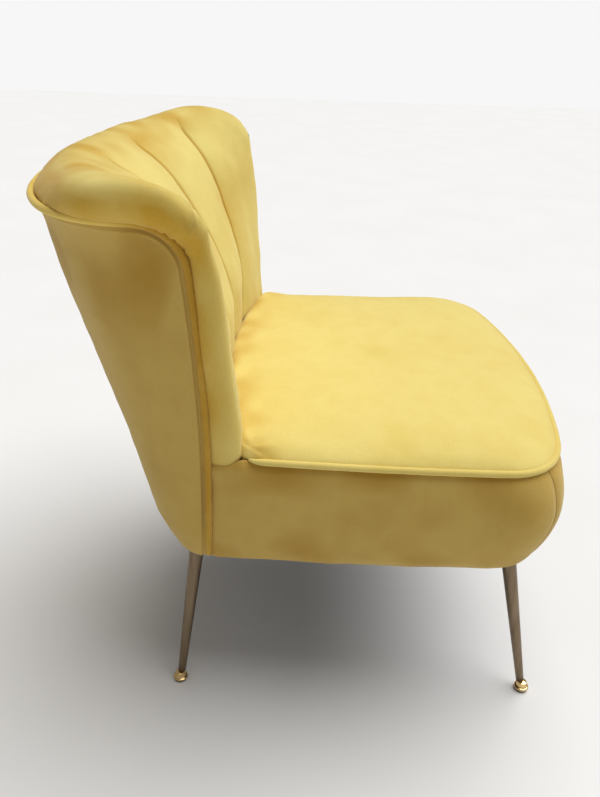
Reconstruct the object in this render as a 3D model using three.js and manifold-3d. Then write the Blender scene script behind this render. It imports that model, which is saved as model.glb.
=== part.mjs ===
// Armless wing-back cocktail chair on four splayed metal legs, as an assembly of separate pieces.
// Millimetres. X is the width, the sitter faces -Y, Z is up from the floor, and the chair is
// symmetrical about X = 0. The origin is on the floor under the middle of the chair's box.
import * as THREE from 'three';
import { mergeVertices } from 'three/addons/utils/BufferGeometryUtils.js';
import Module from 'manifold-3d';

const wasm = await Module();
wasm.setup();

// Seat
const SEAT_HEIGHT = 435; // floor to the seat piping
const SEAT_HALF_WIDTH_REAR = 289;
const SEAT_HALF_WIDTH_FRONT = 308;
const SEAT_FRONT_Y = -357; // middle of the front edge
const SEAT_FRONT_BOW = 23; // how far the middle stands ahead of the corners
const SEAT_CORNER = 88; // length of the rounded corner along each side
const SEAT_CROWN = 30; // rise of the cushion above the piping
const BORDER_BULGE = 6;
const BORDER_TUCK = 10; // how far the lower edge turns under the body
const BODY_BOTTOM = 268; // floor to the lower edge of the covers

// Back
const PIPE_TOP = 735; // floor to the rear run of the back piping
const PIPE_CORNER = 55; // radius where the side run turns into the rear run
const PIPE_SIDE_Y = 128; // side run at seat height
const PIPE_SIDE_CURVE = 0.00018; // the side run bends back above and below it
const REAR_Y = 277; // middle of the rear face at seat height
const REAR_LEAN = 0.275; // backward lean of the rear face
const REAR_BULGE = 7;
const REAR_POWER = 2.4; // squareness of the rear face in plan
const SHELL_HALF_WIDTH = 286; // half width behind the piping, at the bottom
const SHELL_FLARE = 30; // widening of that half width up to the rear run
const LUMBAR_Y = 117; // middle of the inner face below the lumbar height
const LUMBAR_HEIGHT = 520;
const INNER_LEAN = 0.0335; // backward curve of the inner face above it
const SHOULDER_HEIGHT = 700; // where the inner face starts to roll over the rim
const WING_HALF_WIDTH = 281; // inner edge of the wing at seat height
const WING_FLARE = 36; // widening of that edge up to the shoulder
const WING_Y = 87; // wing edge at seat height
const WING_LEAN = 0.07;
const WING_HOOK = 5.5; // extra lean of the wing edge just below the shoulder
const RIM_INNER = 85; // reach of the rim's roll on the inner side
const RIM_OUTER = 85; // and on the rear side
const RIM_FORWARD = 15; // the roll leans forward at the wings
const SEAM_CENTRE = 0.19; // centre channel's edge, as a share of the inner half width
const SEAM_WING_LOW = 0.5; // wing panel's edge at the seat
const SEAM_WING_HIGH = 0.6; // and at the shoulder
const RIM_FAN = 1.25; // the rim's lines spread towards the wings
const RIM_REAR = 0.85; // share of the rim that ends on the rear run of the piping
const RIM_WIDEN = 9; // how far the roll swells out at the wings
const EDGE_ROLL = 15; // reach of the roll round the wing edge
const WING_TURN = 0.016; // strip at each wing edge, as a share of the width, that the border rolls over
const BORDER_TRIM = 0.02; // that strip, as a share of the border's width
const BORDER_SPAN = [0.003, 0.915]; // shares of the wing borders' height that are covered
const PADDING_SPAN = [0, 0.8]; // and that are padded, from the covered part
const COVER_SPAN = [0, 0.99]; // share of the inner face and rim that is covered
const FOAM_SPAN = [0, 0.98]; // and that is padded
const FOAM_WIDTH = [0.05, 0.95];

// Layers, counted inwards from the outer surface
const GAP = 0.3;
const COVER = 2.5;
const PADDING = 9;
const WING_PADDING = 3;
const RAIL = 22;
const PLYWOOD = 8;
const PIPE_RADIUS = 4.5;
const PIPE_CLEARANCE = PIPE_RADIUS + 2.2; // middle of a piping to the covers' edges beside it
const SEAM = 0.0006; // half gap between two covers, as a share of a face's width
const BACK_FOAM = 40;
const BACK_FOAM_EDGE = 10; // foam at the wing edges and at the end of the rim
const FOAM_CLEARANCE = 2.5; // room for the covers' curve between their stations
const RAIL_CLEARANCE = 2.2; // wadding to rails
const CORNER_CLEARANCE = 3; // rails to the front corner blocks' curved face
const SHELL_CLEARANCE = 2.5; // covers to the plywood shell
const FRAME_CLEARANCE = 1.6; // shell to the rear rail and blocks
const POST_CLEARANCE = 2; // between the wooden parts inside the back
const FRAME_BOTTOM = 270;
const FRAME_TOP = 350;
const BLOCK_TOP = 340;
const BLOCK_DEPTH = 58; // front corner blocks
const BUTT = 0.003; // half gap between rails and blocks, as a share of the seat outline
const REAR_STATIONS = 24; // in plan, shared by the layers of the rear face
const REAR_BLOCK = [1, 7]; // stations of the rear face under the corner block
const REAR_RAIL = [0.3, 0.7]; // stretches of the rear face in plan, as shares of it
const POST = [0.05, 0.13];
const TOP_RAIL = [0.14, 0.86];
const WEB_WIDTH = 50;
const WEB_THICKNESS = 1.8;
const SEAT_WEBS = 5;
const POST_TOP = 672;
const TOP_RAIL_HEIGHT = 50;

// Legs
const LEG_TOP_RADIUS = 11;
const ANKLE_RADIUS = 6;
const TUBE_WALL = 1.5;
const FOOT_RADIUS = 11;
const FOOT_HEIGHT = 12;
const GLIDE_RADIUS = 9.5;
const GLIDE_HEIGHT = 3;
const PLATE_SIZE = 44;
const PLATE_THICKNESS = 3;
const STUD_RADIUS = 4;
const STUD_REACH = 38; // length of the stud above the plate
const PLUG_LENGTH = 14;
const FRONT_LEG_INSET = [69, 66]; // leg's top from the side and from the front of the seat
const FRONT_SPLAY = [23, -60]; // foot from the leg's top, outwards and along Y
const REAR_LEG_INSET = [57, 78]; // leg's top from the side and from the rear face
const REAR_SPLAY = [27, 34];

const MATERIALS = {
  velvet: { color: 0xe4c667, roughness: 0.9, metalness: 0 },
  piping: { color: 0xc99a2e, roughness: 0.85, metalness: 0 },
  foam: { color: 0xe9e2c8, roughness: 1, metalness: 0 },
  wadding: { color: 0xf2f0ea, roughness: 1, metalness: 0 },
  timber: { color: 0xb98f5f, roughness: 0.75, metalness: 0 },
  webbing: { color: 0x39393b, roughness: 0.95, metalness: 0 },
  lining: { color: 0x1d1d1f, roughness: 1, metalness: 0 },
  leg_metal: { color: 0x8f6f44, roughness: 0.35, metalness: 1 },
  foot_metal: { color: 0xc8963f, roughness: 0.2, metalness: 1 },
  steel: { color: 0x9a9da1, roughness: 0.4, metalness: 1 },
  glide: { color: 0x2a2622, roughness: 0.6, metalness: 0 },
};

const { lerp, clamp, smoothstep } = THREE.MathUtils;
const vec = (x, y, z) => new THREE.Vector3(x, y, z);
const chair = new THREE.Group();

function add(name, material, geometry, parent = chair) {
  const mesh = new THREE.Mesh(geometry, new THREE.MeshStandardMaterial(MATERIALS[material]));
  mesh.name = name;
  parent.add(mesh);
  return mesh;
}

// A closed body from points and triangles, turned outside out where its volume is negative.
function body(points, triangles) {
  let volume = 0;
  for (const [a, b, c] of triangles) {
    volume += points[a].dot(points[b].clone().cross(points[c]));
  }
  const outward = volume > 0 ? triangles : triangles.map(([a, b, c]) => [a, c, b]);
  const geometry = new THREE.BufferGeometry();
  const coordinates = points.flatMap((point) => point.toArray());
  geometry.setAttribute('position', new THREE.Float32BufferAttribute(coordinates, 3));
  geometry.setIndex(outward.flat());
  return geometry;
}

// Two sheets over the unit square, joined by walls round their edges.
function slab(across, up, front, back) {
  const points = [];
  const triangles = [];
  const count = (across + 1) * (up + 1);
  const at = (i, j) => j * (across + 1) + i;
  for (const sheet of [front, back]) {
    for (let j = 0; j <= up; j += 1) {
      for (let i = 0; i <= across; i += 1) {
        points.push(sheet(i / across, j / up));
      }
    }
  }
  const quad = (a, b, c, d) => triangles.push([a, b, c], [a, c, d]);
  for (let j = 0; j < up; j += 1) {
    for (let i = 0; i < across; i += 1) {
      quad(at(i, j), at(i + 1, j), at(i + 1, j + 1), at(i, j + 1));
      quad(count + at(i, j), count + at(i, j + 1), count + at(i + 1, j + 1), count + at(i + 1, j));
    }
  }
  const wall = (a, b) => quad(b, a, count + a, count + b);
  for (let i = 0; i < across; i += 1) {
    wall(at(i, 0), at(i + 1, 0));
    wall(at(i + 1, up), at(i, up));
  }
  for (let j = 0; j < up; j += 1) {
    wall(at(across, j), at(across, j + 1));
    wall(at(0, j + 1), at(0, j));
  }
  return body(points, triangles);
}

// Closed rings joined in order, with a fan at each end.
function loft(rings) {
  const size = rings[0].length;
  const points = rings.flat();
  const triangles = [];
  for (let j = 0; j + 1 < rings.length; j += 1) {
    for (let i = 0; i < size; i += 1) {
      const next = (i + 1) % size;
      const low = j * size;
      const high = low + size;
      triangles.push([low + i, low + next, high + next], [low + i, high + next, high + i]);
    }
  }
  const cap = (ring, start, turn) => {
    const middle = ring.reduce((sum, point) => sum.add(point), vec(0, 0, 0)).divideScalar(size);
    points.push(middle);
    for (let i = 0; i < size; i += 1) {
      const pair = [start + i, start + ((i + 1) % size)];
      triangles.push(turn ? [points.length - 1, pair[1], pair[0]] : [points.length - 1, ...pair]);
    }
  };
  cap(rings[0], 0, true);
  cap(rings[rings.length - 1], (rings.length - 1) * size, false);
  return body(points, triangles);
}

function lathe(profile) {
  const points = profile.map(([radius, height]) => new THREE.Vector2(radius, height));
  return new THREE.LatheGeometry(points, 16).rotateX(Math.PI / 2);
}

function solidOf(geometry) {
  const bare = geometry.clone();
  bare.deleteAttribute('normal');
  bare.deleteAttribute('uv');
  const merged = mergeVertices(bare, 1e-4);
  const vertProperties = new Float32Array(merged.attributes.position.array);
  const triVerts = new Uint32Array(merged.index.array);
  return new wasm.Manifold(new wasm.Mesh({ numProp: 3, vertProperties, triVerts }));
}

function cut(geometry, cutters) {
  let solid = solidOf(geometry);
  for (const cutter of cutters) {
    solid = solid.subtract(solidOf(cutter));
  }
  const mesh = solid.getMesh();
  const result = new THREE.BufferGeometry();
  result.setAttribute('position', new THREE.BufferAttribute(mesh.vertProperties, 3));
  result.setIndex(new THREE.BufferAttribute(mesh.triVerts, 1));
  return result;
}

// A surface moved inwards along its normal, or level, by a depth that may change over it.
function inward(surface, depth, level = false) {
  const step = 1e-3;
  return (u, v) => {
    const [u0, u1] = [Math.max(u - step, 0), Math.min(u + step, 1)];
    const [v0, v1] = [Math.max(v - step, 0), Math.min(v + step, 1)];
    const along = surface(u1, v).sub(surface(u0, v));
    const rise = surface(u, v1).sub(surface(u, v0));
    const normal = along.cross(rise);
    normal.z = level ? 0 : normal.z;
    normal.normalize();
    const amount = typeof depth === 'function' ? depth(u, v) : depth;
    return surface(u, v).addScaledVector(normal, -amount);
  };
}

// A surface limited to a part of its square, which becomes the whole of the new one.
const part = (surface, [u0, u1], [v0, v1]) => (u, v) => surface(lerp(u0, u1, u), lerp(v0, v1, v));

function layer(surface, across, up, outer, inner) {
  return slab(across, up, inward(surface, outer), inward(surface, inner));
}

function board(surface, across, up, outer, thickness) {
  return slab(across, up, inward(surface, outer, true), inward(surface, outer + thickness, true));
}

function pipe(points, steps) {
  const section = new THREE.Shape().absarc(0, 0, PIPE_RADIUS, 0, 2 * Math.PI);
  const extrudePath = new THREE.CatmullRomCurve3(points);
  return new THREE.ExtrudeGeometry(section, { steps, extrudePath, curveSegments: 4, bevelEnabled: false });
}

// Seat outline: from the side seam to the middle of the front edge, on the +X side.
const cornerY = SEAT_FRONT_Y + SEAT_FRONT_BOW;
const cornerX = SEAT_HALF_WIDTH_FRONT - SEAT_CORNER;
const bowSlope = SEAT_FRONT_BOW / (cornerX / 2);
const cornerTip = cornerY + bowSlope * SEAT_CORNER;
const sideStart = new THREE.Vector2(SEAT_HALF_WIDTH_REAR, PIPE_SIDE_Y - PIPE_CLEARANCE);
const sideEnd = new THREE.Vector2(SEAT_HALF_WIDTH_FRONT, cornerY + SEAT_CORNER);
const sideMiddle = new THREE.Vector2(SEAT_HALF_WIDTH_FRONT, lerp(sideStart.y, sideEnd.y, 0.55));
const frontStart = new THREE.Vector2(cornerX, cornerY);
const seatEdge = new THREE.CurvePath();
seatEdge.add(new THREE.QuadraticBezierCurve(sideStart, sideMiddle, sideEnd));
seatEdge.add(new THREE.QuadraticBezierCurve(
  sideEnd, new THREE.Vector2(SEAT_HALF_WIDTH_FRONT, cornerTip), frontStart));
seatEdge.add(new THREE.QuadraticBezierCurve(
  frontStart, new THREE.Vector2(cornerX / 2, SEAT_FRONT_Y), new THREE.Vector2(0, SEAT_FRONT_Y)));
const edgeLength = seatEdge.getLength();
const [sideLength, turnLength] = seatEdge.getCurveLengths();
const SEAT_SIDE_END = 1 - sideLength / edgeLength;
const SEAT_TURN_END = 1 - turnLength / edgeLength;
const SEAT_TURN_MIDDLE = (SEAT_SIDE_END + SEAT_TURN_END) / 2;

// Point on the seat outline, from -1 at the right side seam through 0 in front to 1 at the left.
function seatOutline(place, inset = 0) {
  const way = clamp(1 - Math.abs(place), 0, 1);
  const point = seatEdge.getPointAt(way);
  const tangent = seatEdge.getTangentAt(way);
  const x = point.x + inset * tangent.y;
  const y = point.y - inset * tangent.x;
  return place < 0 ? [-x, y] : [x, y];
}

// Half width of the seat outline at one depth.
function seatHalfWidth(y) {
  const line = seatEdge.getSpacedPoints(200);
  const behind = line.filter((point) => point.y >= y);
  return behind.length > 0 ? behind[behind.length - 1].x : line[0].x;
}

const borderRise = SEAT_HEIGHT - BODY_BOTTOM;
function bulge(z) {
  const t = clamp((z - BODY_BOTTOM) / borderRise, 0, 1);
  return BORDER_BULGE * Math.sin(Math.PI * t) - BORDER_TUCK * (1 - t) ** 3;
}

// Side and front face of the seat between two heights, over a stretch of the outline.
function seatFace(from, to, low, high) {
  return (u, v) => {
    const z = lerp(low, high, v);
    const [x, y] = seatOutline(lerp(from, to, u), -bulge(z));
    return vec(x, y, z);
  };
}

// The whole face from side seam to side seam, with stations shared by every layer on it.
const SIDE_STATIONS = 10;
const FRONT_STATIONS = 14;
const SEAT_STATIONS = 2 * SIDE_STATIONS + FRONT_STATIONS;
const SEAT_ROWS = 5;
function wholeSeatFace(low, high) {
  return (u, v) => {
    const station = u * SEAT_STATIONS;
    const fromFront = (station - SIDE_STATIONS) / FRONT_STATIONS;
    let place = lerp(-SEAT_TURN_MIDDLE, SEAT_TURN_MIDDLE, fromFront);
    if (fromFront < 0) {
      place = lerp(-1, -SEAT_TURN_MIDDLE, station / SIDE_STATIONS);
    } else if (fromFront > 1) {
      place = lerp(1, SEAT_TURN_MIDDLE, (SEAT_STATIONS - station) / SIDE_STATIONS);
    }
    return seatFace(place, place, low, high)(0, v);
  };
}

// Back piping: side run, corner and level rear run. Clearance moves the line towards the rear face.
const cornerHeight = PIPE_TOP - PIPE_CORNER;
function sideRunY(z) {
  return PIPE_SIDE_Y + PIPE_SIDE_CURVE * (z - SEAT_HEIGHT) ** 2;
}
const cornerCentre = sideRunY(cornerHeight) + PIPE_CORNER;
function pipeY(z, clearance) {
  if (z <= cornerHeight) {
    return sideRunY(z) + clearance;
  }
  const radius = PIPE_CORNER - clearance;
  return cornerCentre - Math.sqrt(Math.max(radius ** 2 - (z - cornerHeight) ** 2, 0));
}
function shellHalfWidth(z) {
  const t = Math.max((z - BODY_BOTTOM) / (PIPE_TOP - BODY_BOTTOM), 0);
  return SHELL_HALF_WIDTH + SHELL_FLARE * t ** 1.6;
}
function rearY(z) {
  const t = clamp((z - SEAT_HEIGHT) / (PIPE_TOP - SEAT_HEIGHT), 0, 1);
  return REAR_Y + REAR_LEAN * (z - SEAT_HEIGHT) + REAR_BULGE * Math.sin(Math.PI * t);
}

// Rear face in plan: place 0 is the right piping, 0.5 the middle, 1 the left piping.
function rearPoint(place, z, clearance) {
  const angle = Math.PI * place;
  const side = pipeY(z, clearance);
  const tuck = Math.min(bulge(z), 0);
  const power = 2 / REAR_POWER;
  const x = -Math.sign(Math.cos(angle)) * (shellHalfWidth(z) + tuck) * Math.abs(Math.cos(angle)) ** power;
  const y = side + (rearY(z) + tuck - side) * Math.max(Math.sin(angle), 0) ** power;
  return vec(x, y, z);
}
function rearFace(low, high, clearance) {
  return (u, v) => rearPoint(1 - u, lerp(low, high, v), clearance);
}

// Inner face: place runs from -1 at the right wing edge to 1 at the left.
function innerPoint(place, z) {
  const t = clamp((z - SEAT_HEIGHT) / (SHOULDER_HEIGHT - SEAT_HEIGHT), 0, 1);
  const halfWidth = WING_HALF_WIDTH + WING_FLARE * (1 - (1 - t) ** 1.7);
  const edge = WING_Y + WING_LEAN * t * (SHOULDER_HEIGHT - SEAT_HEIGHT) + WING_HOOK * t ** 8;
  const middle = LUMBAR_Y + INNER_LEAN * Math.max(z - LUMBAR_HEIGHT, 0) ** 1.5;
  return vec(place * halfWidth, middle - (middle - edge) * place ** 2, z);
}

function curveBetween(start, startHandle, end, endHandle, t) {
  const bend = new THREE.CubicBezierCurve3(
    start, start.clone().add(startHandle), end.clone().add(endHandle), end);
  return bend.getPoint(t);
}

// Edge line just above the corner of the piping, from its rear end at a quarter turn down to its side end.
function cornerPoint(side, angle) {
  const radius = PIPE_CORNER + PIPE_CLEARANCE;
  const z = cornerHeight + radius * Math.sin(angle);
  return vec(side * shellHalfWidth(Math.min(z, PIPE_TOP)), cornerCentre - radius * Math.cos(angle), z);
}

// Ends and handles of the roll over the rim at one place across the back.
function rimEnds(place) {
  const side = Math.sign(place);
  const away = Math.abs(place);
  const start = innerPoint(place, SHOULDER_HEIGHT);
  const startHandle = start.clone().sub(innerPoint(place, SHOULDER_HEIGHT - 1)).normalize();
  startHandle.multiplyScalar(RIM_INNER);
  startHandle.x += side * RIM_WIDEN * smoothstep(away, 0.7, 1);
  const spread = away ** RIM_FAN;
  let end = rearPoint(0.5 + (side * spread) / RIM_REAR / 2, PIPE_TOP, 0);
  end.z += PIPE_CLEARANCE;
  if (spread > RIM_REAR) {
    end = cornerPoint(side, (Math.PI / 2) * (1 - (spread - RIM_REAR) / (1 - RIM_REAR) / 2));
  }
  const endHandle = vec(side * RIM_WIDEN * away ** 2, -RIM_FORWARD * away ** 2, RIM_OUTER);
  return { start, startHandle, end, endHandle };
}

// Inner face and rim in one: up from low to the shoulder, then over the rim to the piping.
const SHOULDER = 0.5;
function innerFace(low) {
  return (u, v) => {
    const place = lerp(-1, 1, u);
    if (v <= SHOULDER) {
      return innerPoint(place, lerp(low, SHOULDER_HEIGHT, v / SHOULDER));
    }
    const { start, startHandle, end, endHandle } = rimEnds(place);
    return curveBetween(start, startHandle, end, endHandle, (v - SHOULDER) / (1 - SHOULDER));
  };
}

// Wing border: strips that wrap from the wing edge round to the piping, fanning at the corner.
const sideRun = cornerHeight - SEAT_HEIGHT;
const cornerRun = (Math.PI / 4) * PIPE_CORNER;
function wingBorder(side) {
  return (u, v) => {
    const start = innerPoint(side, lerp(SEAT_HEIGHT, SHOULDER_HEIGHT, v));
    const near = innerPoint(side * 0.99, start.z);
    const flat = start.clone().sub(near).normalize().multiplyScalar(EDGE_ROLL);
    const distance = v * (sideRun + cornerRun);
    const z = SEAT_HEIGHT + distance;
    let end = vec(side * shellHalfWidth(z), sideRunY(z) - PIPE_CLEARANCE, z);
    if (distance > sideRun) {
      end = cornerPoint(side, (distance - sideRun) / PIPE_CORNER);
    }
    const turn = smoothstep(v, 0.6, 1);
    const top = rimEnds(side);
    const startHandle = flat.lerp(top.startHandle, turn);
    const endHandle = vec(side * 7, -EDGE_ROLL, 0).lerp(top.endHandle, turn);
    return curveBetween(start, startHandle, end, endHandle, u);
  };
}

// Seat cushion outline: the seat outline in front and the foot of the back behind.
const SEAT_WING_END = 1 - (PIPE_SIDE_Y - WING_Y) / edgeLength;
const SEAT_MIDDLE_Y = (SEAT_FRONT_Y + LUMBAR_Y) / 2;
function crown(x, y) {
  const halfWidth = Math.max(SEAT_HALF_WIDTH_FRONT, SEAT_HALF_WIDTH_REAR);
  const across = clamp(1 - (x / halfWidth) ** 2, 0, 1);
  const halfDepth = (LUMBAR_Y - SEAT_FRONT_Y) / 2;
  const along = clamp(1 - ((y - SEAT_MIDDLE_Y) / halfDepth) ** 4, 0, 1);
  return SEAT_CROWN * Math.sqrt(across * along);
}
function cushionRing(inset, share, height) {
  const ring = [];
  const front = 32;
  const rear = 12;
  for (let i = 0; i <= front; i += 1) {
    ring.push(seatOutline(lerp(-SEAT_WING_END, SEAT_WING_END, i / front), inset));
  }
  const halfWidth = ring[0][0];
  for (let i = 1; i < rear; i += 1) {
    const x = lerp(-halfWidth, halfWidth, i / rear);
    const behind = innerPoint(x / WING_HALF_WIDTH, SEAT_HEIGHT).y;
    ring.push([x, Math.max(behind - GAP - inset / 4, ring[0][1])]);
  }
  return ring.map(([x, y]) => {
    const px = share * x;
    const py = lerp(SEAT_MIDDLE_Y, y, share);
    return vec(px, py, height(px, py));
  });
}

const sides = [['right', -1], ['left', 1]];
const padIn = COVER + GAP;
const padOut = padIn + PADDING;
const wingPadIn = padIn + 1; // the borders are flatter than their curve between stations
const railIn = padOut + RAIL_CLEARANCE;
const shellIn = padIn + SHELL_CLEARANCE;
const rearIn = shellIn + PLYWOOD + FRAME_CLEARANCE;
const blockIn = railIn + CORNER_CLEARANCE;

function buildSeatCovers() {
  const top = SEAT_HEIGHT - PIPE_RADIUS - GAP;
  const face = wholeSeatFace(BODY_BOTTOM, top);
  const turn = SIDE_STATIONS / SEAT_STATIONS;
  const pieces = [
    ['right_seat_border', 0, turn - SEAM, SIDE_STATIONS],
    ['front_seat_border', turn + SEAM, 1 - turn - SEAM, FRONT_STATIONS],
    ['left_seat_border', 1 - turn + SEAM, 1, SIDE_STATIONS],
  ];
  for (const [name, from, to, stations] of pieces) {
    add(name, 'velvet', layer(part(face, [from, to], [0, 1]), stations, SEAT_ROWS, 0, COVER));
  }
  add('seat_border_padding', 'wadding', layer(face, SEAT_STATIONS, SEAT_ROWS, padIn, padOut));

  const line = [];
  for (let i = 0; i <= 40; i += 1) {
    const [x, y] = seatOutline(lerp(-SEAT_WING_END, SEAT_WING_END, i / 40));
    line.push(vec(x, y, SEAT_HEIGHT));
  }
  add('seat_piping', 'piping', pipe(line, 52));
}

function buildCushion() {
  const shares = [1, 0.85, 0.6, 0.3];
  const above = (x, y) => SEAT_HEIGHT + crown(x, y);
  const below = (x, y) => above(x, y) - COVER;
  const over = shares.map((share) => cushionRing(PIPE_CLEARANCE, share, above));
  const under = shares.map((share) => cushionRing(PIPE_CLEARANCE, share, below));
  add('seat_top_cover', 'velvet', loft([...under.reverse(), ...over]));
  const bottom = FRAME_TOP + WEB_THICKNESS + 2 * GAP;
  const foamTop = (x, y) => below(x, y) - FOAM_CLEARANCE;
  const foamRings = shares.map((share) => cushionRing(railIn, share, foamTop));
  add('seat_foam', 'foam', loft([cushionRing(railIn, 1, () => bottom), ...foamRings]));
}

function buildSeatFrame() {
  const rail = (face, stations) => board(face, stations, 1, railIn, RAIL);
  const front = seatFace(-SEAT_TURN_END + BUTT, SEAT_TURN_END - BUTT, FRAME_BOTTOM, FRAME_TOP);
  add('front_rail', 'timber', rail(front, 8));
  for (const [name, side] of sides) {
    const ends = [side * (SEAT_SIDE_END + BUTT), side].sort((a, b) => a - b);
    add(`${name}_side_rail`, 'timber', rail(seatFace(...ends, FRAME_BOTTOM, FRAME_TOP), 4));
  }
  const rear = part(rearFace(FRAME_BOTTOM, FRAME_TOP, PIPE_CLEARANCE), REAR_RAIL, [0, 1]);
  add('rear_rail', 'timber', board(rear, 8, 1, rearIn, RAIL));

  const firstWeb = SEAT_FRONT_Y + SEAT_CORNER;
  for (let i = 0; i < SEAT_WEBS; i += 1) {
    const y = lerp(firstWeb, WING_Y, i / (SEAT_WEBS - 1));
    const narrowest = Math.min(seatHalfWidth(y - WEB_WIDTH / 2), seatHalfWidth(y + WEB_WIDTH / 2));
    const onRail = narrowest - railIn - RAIL / 2;
    const web = new THREE.BoxGeometry(2 * onRail, WEB_WIDTH, WEB_THICKNESS);
    web.translate(0, y, FRAME_TOP + GAP + WEB_THICKNESS / 2);
    add(`seat_web_${i + 1}`, 'webbing', web);
  }
}

// One leg with its mounting: the foot stands flat, and the tube, plug and stud share the tilted axis.
const PLATE_BOTTOM = FRAME_BOTTOM - 5;
function legAxis(side, top, splay) {
  const head = vec(side * top[0], top[1], PLATE_BOTTOM);
  const foot = vec(side * (top[0] + splay[0]), top[1] + splay[1], 0);
  const direction = head.clone().sub(foot).normalize();
  return { head, foot, direction };
}
function tilted(profile, axis, start) {
  const turn = new THREE.Quaternion().setFromUnitVectors(vec(0, 0, 1), axis.direction);
  return lathe(profile).applyQuaternion(turn).translate(...start.toArray());
}
function buildLeg(name, axis) {
  const { head, foot, direction } = axis;
  const glide = lathe([[0, 0], [GLIDE_RADIUS, 0], [GLIDE_RADIUS, GLIDE_HEIGHT], [0, GLIDE_HEIGHT]]);
  add(`${name}_glide`, 'glide', glide.translate(foot.x, foot.y, 0));
  const base = GLIDE_HEIGHT + GAP;
  const footTop = base + FOOT_HEIGHT;
  const neck = ANKLE_RADIUS + 0.8;
  const flare = [[0, base], [FOOT_RADIUS - 1, base], [FOOT_RADIUS, base + 1.2],
    [FOOT_RADIUS, base + 2.6], [FOOT_RADIUS - 2.6, base + 4.6], [neck, base + 8], [neck, footTop], [0, footTop]];
  add(`${name}_foot`, 'foot_metal', lathe(flare).translate(foot.x, foot.y, 0));

  const slant = Math.sqrt(1 - direction.z ** 2);
  const bottom = footTop + GAP + ANKLE_RADIUS * slant;
  const top = PLATE_BOTTOM - GAP - LEG_TOP_RADIUS * slant;
  const length = (top - bottom) / direction.z;
  const start = foot.clone().addScaledVector(direction, bottom / direction.z);
  const [wide, narrow] = [LEG_TOP_RADIUS - TUBE_WALL, ANKLE_RADIUS - TUBE_WALL];
  const tube = [[narrow, 0], [ANKLE_RADIUS, 0], [LEG_TOP_RADIUS, length], [wide, length], [narrow, 0]];
  add(`${name}_tube`, 'leg_metal', tilted(tube, axis, start));

  const plugRadius = lerp(wide, narrow, PLUG_LENGTH / length) - GAP;
  const plugStart = start.clone().addScaledVector(direction, length - PLUG_LENGTH);
  const reach = PLUG_LENGTH + (PLATE_BOTTOM - top + PLATE_THICKNESS) / direction.z + STUD_REACH;
  add(`${name}_stud`, 'steel', tilted([[0, 0], [plugRadius, 0], [plugRadius, PLUG_LENGTH],
    [STUD_RADIUS, PLUG_LENGTH], [STUD_RADIUS, reach], [0, reach]], axis, plugStart));

  const hole = tilted([[0, 0], [STUD_RADIUS + 0.6, 0], [STUD_RADIUS + 0.6, reach], [0, reach]],
    axis, plugStart.clone().addScaledVector(direction, 1));
  const half = PLATE_SIZE / 2;
  const corner = PLATE_SIZE / 4;
  const outline = new THREE.Shape();
  outline.absarc(half - corner, half - corner, corner, 0, Math.PI / 2);
  outline.absarc(corner - half, half - corner, corner, Math.PI / 2, Math.PI);
  outline.absarc(corner - half, corner - half, corner, Math.PI, 1.5 * Math.PI);
  outline.absarc(half - corner, corner - half, corner, 1.5 * Math.PI, 2 * Math.PI);
  const plate = new THREE.ExtrudeGeometry(
    outline, { depth: PLATE_THICKNESS, bevelEnabled: false, curveSegments: 3 });
  plate.translate(head.x, head.y, PLATE_BOTTOM);
  add(`${name}_plate`, 'steel', cut(plate, [hole]));
  return hole;
}

// A stretch of the rear face on one side, measured from that side's piping.
const stretchOn = (side, [from, to]) => (side > 0 ? [from, to] : [1 - to, 1 - from]);

// Corner block behind a side rail, squared off towards the rail.
function rearBlock(curve) {
  const steps = REAR_BLOCK[1] - REAR_BLOCK[0];
  const railEnds = [seatOutline(1)[1], seatOutline(1, BORDER_TUCK + railIn + RAIL)[1]];
  const front = Math.max(...railEnds) + POST_CLEARANCE;
  const plan = (v) => {
    const points = [];
    for (let i = 0; i <= steps; i += 1) {
      points.push(curve(i / steps, v));
    }
    const ends = [points[steps], points[0]];
    return [...points, ...ends.map((point) => vec(point.x, front, point.z))];
  };
  return loft([plan(0), plan(1)]);
}

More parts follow.
